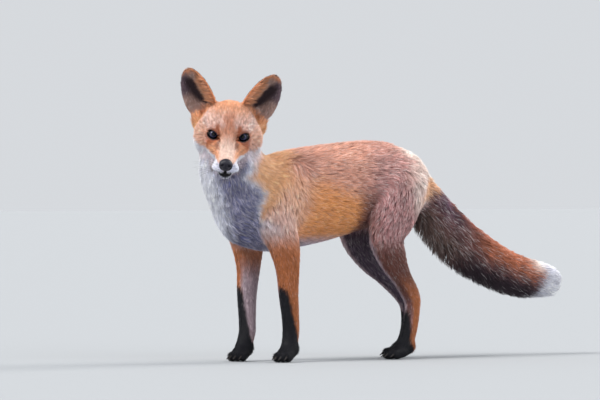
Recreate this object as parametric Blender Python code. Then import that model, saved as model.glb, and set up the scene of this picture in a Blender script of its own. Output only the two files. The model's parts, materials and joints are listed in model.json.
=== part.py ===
"""Red fox, standing with its head turned to its left: a life-size still model.

The fox faces -Y, its own left side is +X, and +Z is up with the soles on z = 0.
The outline is the tips of the coat.  The whole animal is modelled once, as a smooth
blend of rounded limbs and lengths, and is then parted by thin cuts into head, jaw,
neck, trunk, tail and leg pieces.  Lengths in the tables are millimetres; the finished
meshes are metres.
"""
import math

import bmesh
import bpy
import numpy as np
from mathutils import Matrix, Vector

MM = 0.001

# ---------------------------------------------------------------- driving dimensions
GAP = 0.3                 # clear air left along every cut
WHOLE_FACES = 4700        # triangles kept for the uncut animal
KEPT_AFTER_CUTS = 0.80    # share of each cut piece's triangles that is kept

HEAD_YAW = 53.0           # the head looks this far round to the fox's left, degrees
HEAD_PITCH = 16.0         # and this far down
HEAD_ROLL = 5.4           # and leans this far
HEAD_AT = (53.0, -271.0, 394.0)     # the point midway between the two eyes

EYE_RADIUS = 9.5
EYE_AT = (26.5, -4.5, 0.0)          # centre of the left eyeball in the head's own axes
EYE_OPENING = (12.5, 9.0, 8.0)      # half width, half depth, half height of the lids' gap
NOSE_AT = (0.0, 73.0, -30.5)
NOSE_HALF = (12.2, 9.0, 11.0)
MOUTH_HEIGHT = -51.0                # the line of the lips, in the head's own axes
EAR_THICKNESS = 7.0
CLAW_RADIUS = 2.0
SOLE_SNAP = 1.0           # anything of the soles lower than this is set flat on the floor

# Lengths of the body: x, y, z of the middle line, then half width, and the two
# half depths on either side of the middle line.
TRUNK = [
    (0, -201, 257, 47, 62, 57),
    (0, -150, 268, 57, 84, 78),
    (0, -90, 278, 60, 92, 80),
    (0, -25, 288, 61, 90, 78),
    (0, 40, 296, 58, 88, 70),
    (0, 98, 302, 58, 83, 66),
    (0, 142, 304, 54, 67, 58),
]
NECK = [
    (0, -140, 290, 50, 60, 56),
    (0, -184, 300, 56, 68, 60),
    (2, -220, 322, 59, 64, 60),
    (10, -238, 356, 57, 55, 52),
    (16, -244, 396, 46, 42, 44),
]
NAPE = [
    (0, -182, 328, 42, 40, 32),
    (-5, -206, 358, 46, 40, 36),
    (-15, -212, 388, 46, 36, 38),
    (-21, -213, 414, 38, 28, 36),
]
TAIL = [
    (0, 168, 318, 27, 20, 36),
    (0, 205, 298, 34, 20, 64),
    (0, 250, 253, 42, 22, 76),
    (0, 303, 210, 46, 27, 72),
    (0, 362, 176, 46, 28, 63),
    (0, 420, 155, 44, 27, 57),
    (0, 466, 147, 38, 25, 49),
    (0, 490, 141, 28, 16, 41),
]
# The head, in its own axes: to its left, forward, up.
SKULL = [
    (0, -98, 2, 32, 32, 36),
    (0, -74, 2, 46, 44, 44),
    (0, -44, 0, 52, 46, 48),
    (0, -18, -5, 46, 36, 43),
    (0, 4, -12, 34, 20, 36),
]
SNOUT = [
    (0, 0, -15, 31, 20, 33),
    (0, 22, -25, 24, 18, 27),
    (0, 44, -31, 20, 15.5, 21),
    (0, 64, -34, 17, 14, 17),
]
JAW = [
    (0, -20, -44, 27, 14, 18),
    (0, 20, -48, 19, 12, 13),
    (0, 44, -52, 13.5, 10, 9.5),
    (0, 57, -53, 10.5, 8, 8),
]
WHISKER_PAD = ((10, 57, -41), (14, 16, 11))
CHEEK = ((38, -42, -16), (24, 32, 31))
# Each ear: middle of its base, tip, half width.
EARS = {
    1: ((39.5, -54, 22), (76.5, -68, 98), 36.0),
    -1: ((45, -54, 22), (83, -67, 97), 34.0),
}
# Legs of the left side; the right ones are their mirror images set fore or aft.
FORE_LEG = [
    (48, -168, 246, 25, 34, 36),
    (48, -146, 205, 23, 30, 33),
    (47, -138, 165, 19.5, 22, 25),
    (46, -136, 120, 17, 19, 19.5),
    (44, -131, 78, 15.5, 17, 16),
    (42, -128, 52, 15, 15.5, 16),
    (42, -131, 28, 15, 14, 15),
]
SHOULDER = [
    (30, -112, 330, 20, 30, 30),
    (40, -138, 292, 24, 40, 40),
    (46, -168, 252, 26, 36, 36),
]
HIND_LEG = [
    (42, 124, 300, 24, 48, 52),
    (50, 92, 262, 27, 52, 48),
    (52, 70, 224, 23, 42, 36),
    (50, 86, 182, 18, 34, 29),
    (45, 112, 146, 14, 23, 20),
    (40, 137, 112, 12.5, 21, 17),
    (39, 141, 88, 12, 18, 14.5),
    (38, 137, 55, 12.5, 16.5, 14.5),
    (38, 130, 28, 13.5, 14, 14),
]
FORE_STEP = {1: 0.0, -1: -37.0}     # the right forefoot stands this far ahead
HIND_STEP = {1: 0.0, -1: 56.0}      # the right hind foot this far behind
FORE_TOES = 31.0                    # reach of the middle toes past the wrist
HIND_TOES = 40.0
FORE_TURN = 20.0                    # the forefeet point this far to the fox's left
TOES = ((-12.5, 0.80), (-4.6, 1.0), (4.6, 1.0), (12.5, 0.80))


# ---------------------------------------------------------------- distances
def smooth_min(a, b, blend):
    """The lesser of two distances, rounded over where they come within blend."""
    near = np.maximum(blend - np.abs(a - b), 0) / blend
    return np.minimum(a, b) - near * near * blend / 4


def smooth_max(a, b, blend):
    return -smooth_min(-a, -b, blend)


def faired(stations, steps=4):
    """A smooth (Catmull-Rom) run of stations through the given ones."""
    s = np.array(stations, float)
    run = np.vstack([2 * s[0] - s[1], s, 2 * s[-1] - s[-2]])
    t = np.linspace(0, 1, steps, endpoint=False)[:, None]
    out = []
    for a, b, c, d in zip(run[:-3], run[1:-2], run[2:-1], run[3:]):
        bend = (2 * a - 5 * b + 4 * c - d) * t**2
        twist = (3 * b - a - 3 * c + d) * t**3
        out.append(0.5 * (2 * b + (c - a) * t + bend + twist))
    out.append(s[-1:])
    return np.vstack(out)


def length_field(p, stations, end=1.0, steps=4):
    """Distance to a rounded length: tapered egg-shaped sections along a middle line."""
    s = faired(stations, steps)
    best = np.full(len(p), 1e9)
    for a, b in zip(s[:-1], s[1:]):
        axis = b[:3] - a[:3]
        length = np.linalg.norm(axis)
        axis = axis / length
        across = np.array((1.0, 0, 0)) - axis[0] * axis
        across /= np.linalg.norm(across)
        up = np.cross(across, axis)
        q = p - a[:3]
        along = q @ axis
        t = np.clip(along / length, 0, 1)
        over = along - t * length
        side = q @ across
        rise = q @ up
        half_side = a[3] + (b[3] - a[3]) * t
        above = a[4] + (b[4] - a[4]) * t
        below = a[5] + (b[5] - a[5]) * t
        half_rise = np.where(rise > 0, above, below)
        half_end = end * 0.5 * (half_side + np.minimum(above, below))
        k1 = np.sqrt((side / half_side)**2 + (rise / half_rise)**2 + (over / half_end)**2)
        k2 = np.sqrt((side / half_side**2)**2 + (rise / half_rise**2)**2
                     + (over / half_end**2)**2)
        best = np.minimum(best, k1 * (k1 - 1) / np.maximum(k2, 1e-9))
    return best


def ball_field(p, centre, radii):
    """Distance to an ellipsoid."""
    q = p - np.array(centre, float)
    r = np.array(radii, float)
    k1 = np.linalg.norm(q / r, axis=1)
    k2 = np.linalg.norm(q / r**2, axis=1)
    return k1 * (k1 - 1) / np.maximum(k2, 1e-9)


def head_axes():
    """Rows: the head's left, forward and up directions."""
    yaw, pitch, roll = np.radians([HEAD_YAW, HEAD_PITCH, HEAD_ROLL])
    level = np.array((np.sin(yaw), -np.cos(yaw), 0))
    left = np.array((np.cos(yaw), np.sin(yaw), 0))
    sky = np.array((0, 0, 1.0))
    forward = level * np.cos(pitch) - sky * np.sin(pitch)
    up = level * np.sin(pitch) + sky * np.cos(pitch)
    rolled_left = left * np.cos(roll) - up * np.sin(roll)
    rolled_up = up * np.cos(roll) + left * np.sin(roll)
    return np.array((rolled_left, forward, rolled_up))


HEAD = head_axes()


def mirrored(p, side):
    return p * (side, 1, 1)


def ear_field(q, side):
    """A cupped leaf; q is in the head's axes, mirrored so that the ear is a left one."""
    base, tip, wide = EARS[side]
    base = np.array(base, float)
    up = np.array(tip, float) - base
    height = np.linalg.norm(up)
    up /= height
    face = np.array((0.30, 0.95, 0.0))
    face -= face @ up * up
    face /= np.linalg.norm(face)
    across = np.cross(face, up)
    d = q - base
    rise = d @ up / height
    side_way = d @ across
    front = d @ face
    t = np.clip(rise, 0, 1)
    half = np.maximum(wide * (1 - t**2.6)**0.6 * (0.86 + 0.1 * t), 5.0)
    cup = 20.0 * (1 - t)**0.8 + 4
    v = np.clip(side_way / half, -1.2, 1.2)
    slope = np.sqrt(1 + (2 * cup * v / half)**2)
    sheet = np.abs(front + cup * (1 - v * v)) / slope - EAR_THICKNESS / 2
    edge = np.abs(side_way) - half
    ends = np.maximum((rise - 1) * height, -rise * height - 12)
    return smooth_max(smooth_max(sheet, edge, 4.0), ends, 6.0)


def head_field(q):
    """The head without its ears, in its own axes."""
    f = length_field(q, SKULL)
    f = smooth_min(f, length_field(q, SNOUT, end=0.8), 12)
    for side in (1, -1):
        f = smooth_min(f, ball_field(mirrored(q, side), *WHISKER_PAD), 7)
    f = smooth_min(f, length_field(q, JAW), 4)
    f = smooth_min(f, ball_field(q, NOSE_AT, NOSE_HALF), 2)
    for side in (1, -1):
        f = smooth_min(f, ball_field(mirrored(q, side), *CHEEK), 14)
    return f


def stepped(stations, foot, low, high):
    """Carries the lower stations fore or aft by foot and the upper ones less."""
    s = np.array(stations, float)
    s[:, 1] += foot * np.clip((high - s[:, 2]) / (high - low), 0, 1)
    return s


def fore_stations(side):
    return stepped(FORE_LEG, FORE_STEP[side], 28, 270)


def hind_stations(side):
    return stepped(HIND_LEG, HIND_STEP[side], 70, 285)


def paw_frame(side, hind):
    """Middle of a left paw on the floor, its turn in degrees and the reach of its toes."""
    if hind:
        foot = hind_stations(side)[-1]
        return np.array((foot[0], foot[1] + 1, 0.0)), 0.0, HIND_TOES
    foot = fore_stations(side)[-1]
    return np.array((foot[0], foot[1] + 2, 0.0)), side * FORE_TURN, FORE_TOES


def paw_field(q, reach, turn):
    """A paw of one pad and four toes, toes towards -Y."""
    c = math.cos(math.radians(turn))
    s = math.sin(math.radians(turn))
    q = np.stack([q[:, 0] * c + q[:, 1] * s, q[:, 1] * c - q[:, 0] * s, q[:, 2]], -1)
    back = [(0, 4, 22, 14, 14, 15), (0, -12, 15, 16, 13, 17), (0, -20, 11, 15, 10, 14)]
    f = length_field(q, back)
    for aside, share in TOES:
        toe = [(aside * 0.75, -12, 13, 8, 8, 10), (aside, -reach * share, 7.0, 6.6, 8.6, 11.5)]
        f = smooth_min(f, length_field(q, toe, steps=2), 3.0)
    return f


def leg_field(q, side, hind):
    if hind:
        f = length_field(q, hind_stations(side))
    else:
        f = length_field(q, fore_stations(side))
        f = smooth_min(f, length_field(q, SHOULDER), 16)
    middle, turn, reach = paw_frame(side, hind)
    return smooth_min(f, paw_field(q - middle, reach, turn), 8)


def fox_field(p):
    """Distance to the whole coat; negative inside."""
    f = length_field(p, TRUNK)
    f = smooth_min(f, length_field(p, NECK), 34)
    f = smooth_min(f, length_field(p, NAPE), 20)
    for side in (1, -1):
        for hind in (False, True):
            f = smooth_min(f, leg_field(mirrored(p, side), side, hind), 18)
    f = smooth_min(f, length_field(p, TAIL), 14)
    q = (p - HEAD_AT) @ HEAD.T
    f = smooth_min(f, head_field(q), 12)
    for side in (1, -1):
        f = smooth_min(f, ear_field(mirrored(q, side), side), 5)
    return np.maximum(f, -p[:, 2])


# ---------------------------------------------------------------- meshing
def runs(*spans):
    """Grid lines: spans of (start, stop, spacing) laid end to end."""
    lines = []
    for start, stop, spacing in spans:
        lines.append(np.linspace(start, stop, round((stop - start) / spacing), endpoint=False))
    return np.append(np.concatenate(lines), spans[-1][1])


def sampled(field, axes, coarse=4):
    """The field on a grid: exact near the surface, only its sign elsewhere."""
    rough = [a[np.append(np.arange(0, len(a) - 1, coarse), len(a) - 1)] for a in axes]
    grid = np.stack(np.meshgrid(*rough, indexing="ij"), -1)
    far = field(grid.reshape(-1, 3)).reshape(grid.shape[:3])
    reach = max(np.diff(r).max() for r in rough) * 1.6
    pick = [np.abs(a[:, None] - r[None]).argmin(1) for a, r in zip(axes, rough)]
    near = (np.abs(far) < reach)[np.ix_(*pick)]
    volume = np.sign(far)[np.ix_(*pick)] * reach
    where = np.nonzero(near)
    points = np.stack([axes[k][where[k]] for k in range(3)], -1)
    volume[where] = field(points)
    return volume


def settled(volume):
    """Fills corners that touch only across a diagonal, so the surface never meets itself."""
    for _ in range(8):
        for u, v in ((0, 1), (1, 2), (0, 2)):
            square = []
            for du, dv in ((0, 0), (1, 1), (1, 0), (0, 1)):
                part = [slice(None)] * 3
                part[u] = slice(du, volume.shape[u] - 1 + du)
                part[v] = slice(dv, volume.shape[v] - 1 + dv)
                square.append(volume[tuple(part)])
            a, b, c, d = [corner < 0 for corner in square]
            square[2][a & b & ~c & ~d] = -0.05
            square[0][c & d & ~a & ~b] = -0.05
    return volume


def surface_net(volume, axes):
    """One vertex per crossed cell, one four-sided face per crossed grid edge."""
    inside = volume < 0
    shape = inside.shape
    steps = [(i, j, k) for k in (0, 1) for j in (0, 1) for i in (0, 1)]
    count = sum(inside[i:shape[0] - 1 + i, j:shape[1] - 1 + j, k:shape[2] - 1 + k].astype(np.int8)
                for i, j, k in steps)
    active = (count > 0) & (count < 8)
    cells = np.stack(np.nonzero(active), -1)
    number = np.full(active.shape, -1, np.int64)
    number[active] = np.arange(len(cells))
    total = np.zeros((len(cells), 3))
    hits = np.zeros(len(cells))
    for i, first in enumerate(steps):
        for second in steps[i + 1:]:
            if sum(abs(a - b) for a, b in zip(first, second)) != 1:
                continue
            ia = cells + first
            ib = cells + second
            va = volume[tuple(ia.T)]
            vb = volume[tuple(ib.T)]
            cross = (va < 0) != (vb < 0)
            t = np.where(cross, va / np.where(va == vb, 1, va - vb), 0)[:, None]
            pa = np.stack([axes[k][ia[:, k]] for k in range(3)], -1)
            pb = np.stack([axes[k][ib[:, k]] for k in range(3)], -1)
            total += np.where(cross[:, None], pa + t * (pb - pa), 0)
            hits += cross
    faces = []
    for axis in range(3):
        low = inside.take(np.arange(shape[axis] - 1), axis)
        high = inside.take(np.arange(1, shape[axis]), axis)
        edge = np.stack(np.nonzero(low != high), -1)
        u, v = ((1, 2), (2, 0), (0, 1))[axis]
        du = np.eye(3, dtype=int)[u]
        dv = np.eye(3, dtype=int)[v]
        ring = [edge - du - dv, edge - dv, edge, edge - du]
        face = np.stack([number[tuple(r.T)] for r in ring], -1)
        turn = ~low[tuple(edge.T)]
        face[turn] = face[turn][:, ::-1]
        faces.append(face)
    return total / hits[:, None], np.vstack(faces)


# ---------------------------------------------------------------- Blender helpers
for old in list(bpy.data.objects):
    bpy.data.objects.remove(old, do_unlink=True)


def put(name, mesh):
    ob = bpy.data.objects.new(name, mesh)
    bpy.context.scene.collection.objects.link(ob)
    return ob


def mesh_from(name, verts, faces, flip=False):
    if flip:
        faces = [face[::-1] for face in faces]
    mesh = bpy.data.meshes.new(name)
    mesh.from_pydata([tuple(v) for v in np.asarray(verts, float) * MM], [], faces)
    mesh.update()
    return mesh


def baked(ob):
    """A copy of the object's mesh with its modifiers worked out."""
    graph = bpy.context.evaluated_depsgraph_get()
    return bpy.data.meshes.new_from_object(ob.evaluated_get(graph))


def combined(mesh, cutter, operation):
    """The mesh cut by, or kept within, a closed cutter mesh."""
    ob = put("work", mesh)
    tool = put("tool", cutter)
    modifier = ob.modifiers.new("cut", "BOOLEAN")
    modifier.operation = operation
    modifier.solver = "EXACT"
    modifier.object = tool
    out = baked(ob)
    bpy.data.objects.remove(ob, do_unlink=True)
    bpy.data.objects.remove(tool, do_unlink=True)
    return out


def thinned(mesh, ratio):
    """The mesh with only a share of its triangles, the flattest given up first."""
    ob = put("work", mesh)
    modifier = ob.modifiers.new("thin", "DECIMATE")
    modifier.ratio = ratio
    out = baked(ob)
    bpy.data.objects.remove(ob, do_unlink=True)
    return out


def box(low, high, axes=np.eye(3), origin=(0, 0, 0), grow=0.0):
    """A box between two corners given in its own axes, enlarged by grow all round."""
    low = np.array(low, float) - grow
    high = np.array(high, float) + grow
    corners = np.array([[(low, high)[i][0], (low, high)[j][1], (low, high)[k][2]]
                        for k in (0, 1) for j in (0, 1) for i in (0, 1)])
    verts = corners @ np.asarray(axes, float) + np.array(origin, float)
    faces = [(0, 2, 3, 1), (4, 5, 7, 6), (0, 1, 5, 4), (2, 6, 7, 3), (0, 4, 6, 2), (1, 3, 7, 5)]
    return mesh_from("box", verts, faces, flip=np.linalg.det(axes) < 0)


def ellipsoid(centre, radii, axes=np.eye(3), origin=(0, 0, 0), grow=0.0, around=12, rings=7):
    """A closed ellipsoid in the given axes, enlarged by grow all round."""
    turn = np.linspace(0, 2 * np.pi, around, endpoint=False)
    rise = np.linspace(0, np.pi, rings + 1)[1:-1]
    ring = [np.stack([np.cos(turn) * np.sin(a), np.sin(turn) * np.sin(a),
                      np.full(around, np.cos(a))], -1) for a in rise]
    unit = np.vstack(ring + [[(0, 0, 1)], [(0, 0, -1)]])
    verts = unit * (np.array(radii, float) + grow) + np.array(centre, float)
    verts = verts @ np.asarray(axes, float) + np.array(origin, float)
    top = (rings - 1) * around
    faces = []
    for i in range(around):
        j = (i + 1) % around
        faces.append((i, j, top))
        faces.append((top + 1, top - around + j, top - around + i))
        for r in range(rings - 2):
            a = r * around
            faces.append((a + i, a + around + i, a + around + j, a + j))
    return mesh_from("ellipsoid", verts, faces, flip=np.linalg.det(axes) < 0)


def plane_axes(normal, along):
    """Axes whose last row is the normal and whose first row leans along the hint."""
    n = np.array(normal, float)
    n /= np.linalg.norm(n)
    a = np.array(along, float)
    a -= a @ n * n
    a /= np.linalg.norm(a)
    return np.array((a, np.cross(n, a), n))


# ---------------------------------------------------------------- the uncut animal
AXES = (
    runs((-84, 116, 3.4)),
    runs((-345, -150, 2.7), (-150, 62, 5.6), (62, 220, 4.4), (220, 530, 6.2)),
    runs((-4.6, 61.4, 3.0), (61.4, 310, 5.2), (310, 520, 2.7)),
)
points, quads = surface_net(settled(sampled(fox_field, AXES)), AXES)
points[:, 2] = np.maximum(points[:, 2], 0)
rest = thinned(mesh_from("whole", points, quads.tolist()), WHOLE_FACES / (2 * len(quads)))
spots = np.empty(3 * len(rest.vertices))
rest.vertices.foreach_get("co", spots)
spots[2::3] = np.where(spots[2::3] < SOLE_SNAP * MM, 0, spots[2::3])
rest.vertices.foreach_set("co", spots)

pieces = {}


def take(name, cell, **sizes):
    """Parts a piece off the rest of the animal along the walls of a cell."""
    global rest
    pieces[name] = combined(rest, cell(grow=0.0, **sizes), "INTERSECT")
    rest = combined(rest, cell(grow=GAP, **sizes), "DIFFERENCE")


def carve(cell, grow=GAP):
    """Hollows the rest of the animal to clear a piece set into it."""
    global rest
    rest = combined(rest, cell(grow=grow), "DIFFERENCE")


SIDES = {1: "left", -1: "right"}

# ---------------------------------------------------------------- head pieces
IN_HEAD = dict(axes=HEAD, origin=HEAD_AT)

for side, word in SIDES.items():
    at = (EYE_AT[0] * side, EYE_AT[1], EYE_AT[2])
    front = (at[0] + side * 3.2, at[1] + 8.0, at[2])
    ball = (EYE_RADIUS, EYE_RADIUS, EYE_RADIUS)
    pieces[f"eye_{word}"] = ellipsoid(at, ball, around=12, rings=7, **IN_HEAD)
    carve(lambda grow: ellipsoid(at, ball, grow=grow, around=12, rings=7, **IN_HEAD))
    carve(lambda grow: ellipsoid(front, EYE_OPENING, grow=grow, around=10, rings=6, **IN_HEAD))

take("nose", lambda grow: ellipsoid((0, 75, -30.5), (12.8, 11.0, 11.5), grow=grow,
                                    around=12, rings=7, **IN_HEAD))
take("jaw", lambda grow: box((-34, 12, -80), (34, 90, MOUTH_HEIGHT), grow=grow, **IN_HEAD))
for side, word in SIDES.items():
    slant = plane_axes((0.75 * side, 0, 0.66), (0, 1, 0))
    own = slant @ HEAD
    low = min(-62 * side, 70 * side)
    high = max(-62 * side, 70 * side)
    take(f"ear_{word}", lambda grow: box((-115, low, 50.5), (-22, high, 150), axes=own,
                                         origin=HEAD_AT, grow=grow))

ABOVE_NECK = plane_axes((0.25, -0.30, 0.92), (1, 0, 0))
take("head", lambda grow: box((-130, -120, 0), (130, 130, 200), axes=ABOVE_NECK,
                              origin=(0, -228, 346), grow=grow))
BELOW_NECK = plane_axes((0, -0.6, 0.8), (1, 0, 0))
take("neck", lambda grow: box((-100, -160, 0), (100, 60, 150), axes=BELOW_NECK,
                              origin=(0, -150, 366), grow=grow))

# ---------------------------------------------------------------- legs
def limb_box(side, fore, aft, low, high, grow, inner=3.0):
    """An upright box round one leg, from inner to well outside it."""
    near = min(inner * side, 110.0 * side)
    far = max(inner * side, 110.0 * side)
    return box((near, fore, low), (far, aft, high), grow=grow)


for side, word in SIDES.items():
    fore = FORE_STEP[side]
    take(f"forepaw_{word}", lambda grow: limb_box(side, -260, -80, -20, 62, grow))
    take(f"forearm_{word}", lambda grow: limb_box(side, -260, -80, 50, 182, grow))
    shoulder = (50 * side, -152 + fore * 0.08, 243)
    take(f"shoulder_{word}", lambda grow: ellipsoid(shoulder, (37, 56, 72), grow=grow))

    hind = HIND_STEP[side]
    take(f"hindpaw_{word}", lambda grow: limb_box(side, 40, 250, -20, 48, grow))
    take(f"metatarsus_{word}", lambda grow: limb_box(side, 40, 250, 30, 116, grow))
    slope = plane_axes((-7 * side, 42 + hind * 0.36, -78), (1, 0, 0))
    knee = (50 * side, 80 + hind * 0.40, 202)
    reach = (-47 * side, 60 * side)
    take(f"shank_{word}", lambda grow: box((min(reach), -48, 0), (max(reach), 75, 170),
                                           axes=slope, origin=knee, grow=grow))
    thigh = (54 * side, 96 + hind * 0.12, 242)
    take(f"thigh_{word}", lambda grow: ellipsoid(thigh, (36, 72, 94), grow=grow))

# ---------------------------------------------------------------- tail
for name, at, normal in (("tail_tip", (0, 405, 158), (0, 0.96, -0.27)),
                         ("tail_middle", (0, 292, 218), (0, 0.82, -0.57)),
                         ("tail_root", (0, 190, 305), (0, 0.97, -0.24))):
    lean = plane_axes(normal, (1, 0, 0))
    take(name, lambda grow: box((-90, -110, 0), (90, 150, 180), axes=lean, origin=at, grow=grow))

pieces["trunk"] = rest

# Cuts leave more triangles than the shape needs; the small pieces keep all of theirs.
SMALL = ("eye", "nose", "jaw", "forepaw", "hindpaw")
for name in pieces:
    if not name.startswith(SMALL):
        pieces[name] = thinned(pieces[name], KEPT_AFTER_CUTS)


# ---------------------------------------------------------------- claws
def claw(side, hind, aside, share, grow=0.0):
    """A short downward cone at the end of one toe."""
    middle, turn, reach = paw_frame(side, hind)
    start = np.array((aside, -reach * share - 4.0, 11.0))
    tip = np.array((aside * 1.03, -reach * share - 14.5, 4.6))
    axes = plane_axes(tip - start, (1, 0, 0))
    start = start - axes[2] * grow
    tip = tip + axes[2] * grow
    turns = np.linspace(0, 2 * np.pi, 5, endpoint=False)
    rings = []
    for t, radius in ((0.0, CLAW_RADIUS), (1.0, 0.6)):
        middle_of_ring = start + (tip - start) * t
        for a in turns:
            offset = axes[0] * math.cos(a) + axes[1] * math.sin(a)
            rings.append(middle_of_ring + offset * (radius + grow))
    verts = np.array(rings)
    c = math.cos(math.radians(turn))
    s = math.sin(math.radians(turn))
    spun = np.stack([verts[:, 0] * c - verts[:, 1] * s, verts[:, 0] * s + verts[:, 1] * c,
                     verts[:, 2]], -1)
    placed = mirrored(spun + middle, side)
    faces = [tuple(range(4, -1, -1)), tuple(range(5, 10))]
    faces += [(i, (i + 1) % 5, 5 + (i + 1) % 5, 5 + i) for i in range(5)]
    return mesh_from("claw", placed, faces, flip=side < 0)


for side, word in SIDES.items():
    for hind, limb in ((False, "fore"), (True, "hind")):
        paw = f"{limb}paw_{word}"
        for n, (aside, share) in enumerate(TOES, 1):
            room = claw(side, hind, aside, share, grow=GAP)
            pieces[paw] = combined(pieces[paw], room, "DIFFERENCE")
            pieces[f"claw_{limb}_{word}_{n}"] = claw(side, hind, aside, share)

# ---------------------------------------------------------------- finish
# name start: base colour, roughness
COATS = {
    "head": ((0.50, 0.20, 0.075), 0.75),
    "jaw": ((0.62, 0.57, 0.52), 0.75),
    "nose": ((0.022, 0.018, 0.018), 0.35),
    "ear": ((0.30, 0.13, 0.06), 0.75),
    "eye": ((0.12, 0.055, 0.018), 0.08),
    "neck": ((0.42, 0.33, 0.28), 0.8),
    "trunk": ((0.45, 0.17, 0.06), 0.75),
    "tail_root": ((0.22, 0.11, 0.06), 0.8),
    "tail_middle": ((0.20, 0.10, 0.055), 0.8),
    "tail_tip": ((0.45, 0.36, 0.30), 0.8),
    "shoulder": ((0.46, 0.18, 0.065), 0.75),
    "forearm": ((0.22, 0.10, 0.05), 0.75),
    "forepaw": ((0.10, 0.055, 0.035), 0.75),
    "thigh": ((0.36, 0.16, 0.075), 0.75),
    "shank": ((0.40, 0.17, 0.07), 0.75),
    "metatarsus": ((0.26, 0.12, 0.055), 0.75),
    "hindpaw": ((0.20, 0.095, 0.05), 0.75),
    "claw": ((0.035, 0.028, 0.024), 0.4),
}


def paint(ob):
    start = max((k for k in COATS if ob.name.startswith(k)), key=len)
    colour, rough = COATS[start]
    material = bpy.data.materials.new(ob.name)
    material.use_nodes = True
    shader = material.node_tree.nodes["Principled BSDF"]
    shader.inputs["Base Color"].default_value = (*colour, 1)
    shader.inputs["Roughness"].default_value = rough
    shader.inputs["Metallic"].default_value = 0.0
    ob.data.materials.clear()
    ob.data.materials.append(material)


everything = np.vstack([[v.co for v in mesh.vertices] for mesh in pieces.values()])
middle = (everything.min(0) + everything.max(0)) / 2
shift = Matrix.Translation(Vector((-middle[0], -middle[1], 0)))
for name, mesh in pieces.items():
    mesh.name = name
    work = bmesh.new()
    work.from_mesh(mesh)
    bmesh.ops.triangulate(work, faces=work.faces)
    bmesh.ops.transform(work, matrix=shift, verts=work.verts)
    work.to_mesh(mesh)
    work.free()
    mesh.shade_smooth()
    mesh.set_sharp_from_angle(angle=math.radians(48))
    paint(put(name, mesh))
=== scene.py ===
"""A red fox, standing with its head turned to its left: skin, eyes, nose, claws and coat.

The fox faces -Y, its own left side is +X and +Z is up.  Lengths in the tables are
millimetres on the maker's drawing; finished meshes are metres in the frame's place.
"""
# %% [markdown]
# # A red fox in its coat
# A stuffed animal in a museum is made in two stages: a form with the muscles of the
# animal under it, and the skin with its hair drawn over that.  This file does the same.
# First it works out one unbroken skin from rounded lengths.  Then it sets about 250,000
# small locks of hair on it, each following the lie of the coat.
# The frame that is loaded first holds the same animal as plain solids, out to the hair tips.

import json
import math

import bpy
import numpy as np
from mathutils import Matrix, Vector

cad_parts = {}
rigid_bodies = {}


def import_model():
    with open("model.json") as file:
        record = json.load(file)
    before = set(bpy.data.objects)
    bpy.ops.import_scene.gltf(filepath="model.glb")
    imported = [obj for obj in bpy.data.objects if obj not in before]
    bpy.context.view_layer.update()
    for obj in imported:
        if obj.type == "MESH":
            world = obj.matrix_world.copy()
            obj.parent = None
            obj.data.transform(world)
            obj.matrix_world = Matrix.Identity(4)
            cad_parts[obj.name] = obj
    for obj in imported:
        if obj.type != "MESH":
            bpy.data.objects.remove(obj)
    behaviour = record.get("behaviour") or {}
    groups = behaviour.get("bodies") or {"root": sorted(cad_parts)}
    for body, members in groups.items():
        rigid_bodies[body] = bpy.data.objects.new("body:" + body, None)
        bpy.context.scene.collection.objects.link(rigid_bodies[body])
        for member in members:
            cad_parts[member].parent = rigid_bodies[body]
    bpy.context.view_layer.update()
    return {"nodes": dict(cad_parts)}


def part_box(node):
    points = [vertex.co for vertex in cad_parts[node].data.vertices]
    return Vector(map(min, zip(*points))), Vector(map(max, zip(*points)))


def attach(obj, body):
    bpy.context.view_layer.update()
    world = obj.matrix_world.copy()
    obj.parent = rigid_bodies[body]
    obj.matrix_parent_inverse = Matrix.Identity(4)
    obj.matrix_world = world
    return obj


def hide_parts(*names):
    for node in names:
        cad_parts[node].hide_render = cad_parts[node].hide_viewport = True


for old in list(bpy.data.objects):
    bpy.data.objects.remove(old, do_unlink=True)
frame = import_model()
MM = 0.001
SIDES = {1: "left", -1: "right"}
print("frame nodes:", len(frame["nodes"]))

# %% [markdown]
# ## The measures
# Each length of the body is a row of stations.  A station has the x, y and z of a middle
# line, a half width, two half depths on either side of the line, and last the depth of the
# coat there.  Depths run from 2 mm on the feet to 11.5 mm on the throat.  The brush has none
# in its rows: its coat is what lies round the bare tail.

# %% Tables of the body
# The head's turns are in degrees, and its middle lies between the eyes.
HEAD_YAW = 53.0
HEAD_PITCH = 16.0
HEAD_ROLL = 5.4
HEAD_AT = np.array((53.0, -271.0, 394.0))
EYE_RADIUS = 9.5
EYE_AT = np.array((26.5, -4.5, 0.0))
NOSE_AT = np.array((0.0, 73.0, -30.5))
EAR_THICKNESS = 7.0

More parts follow.
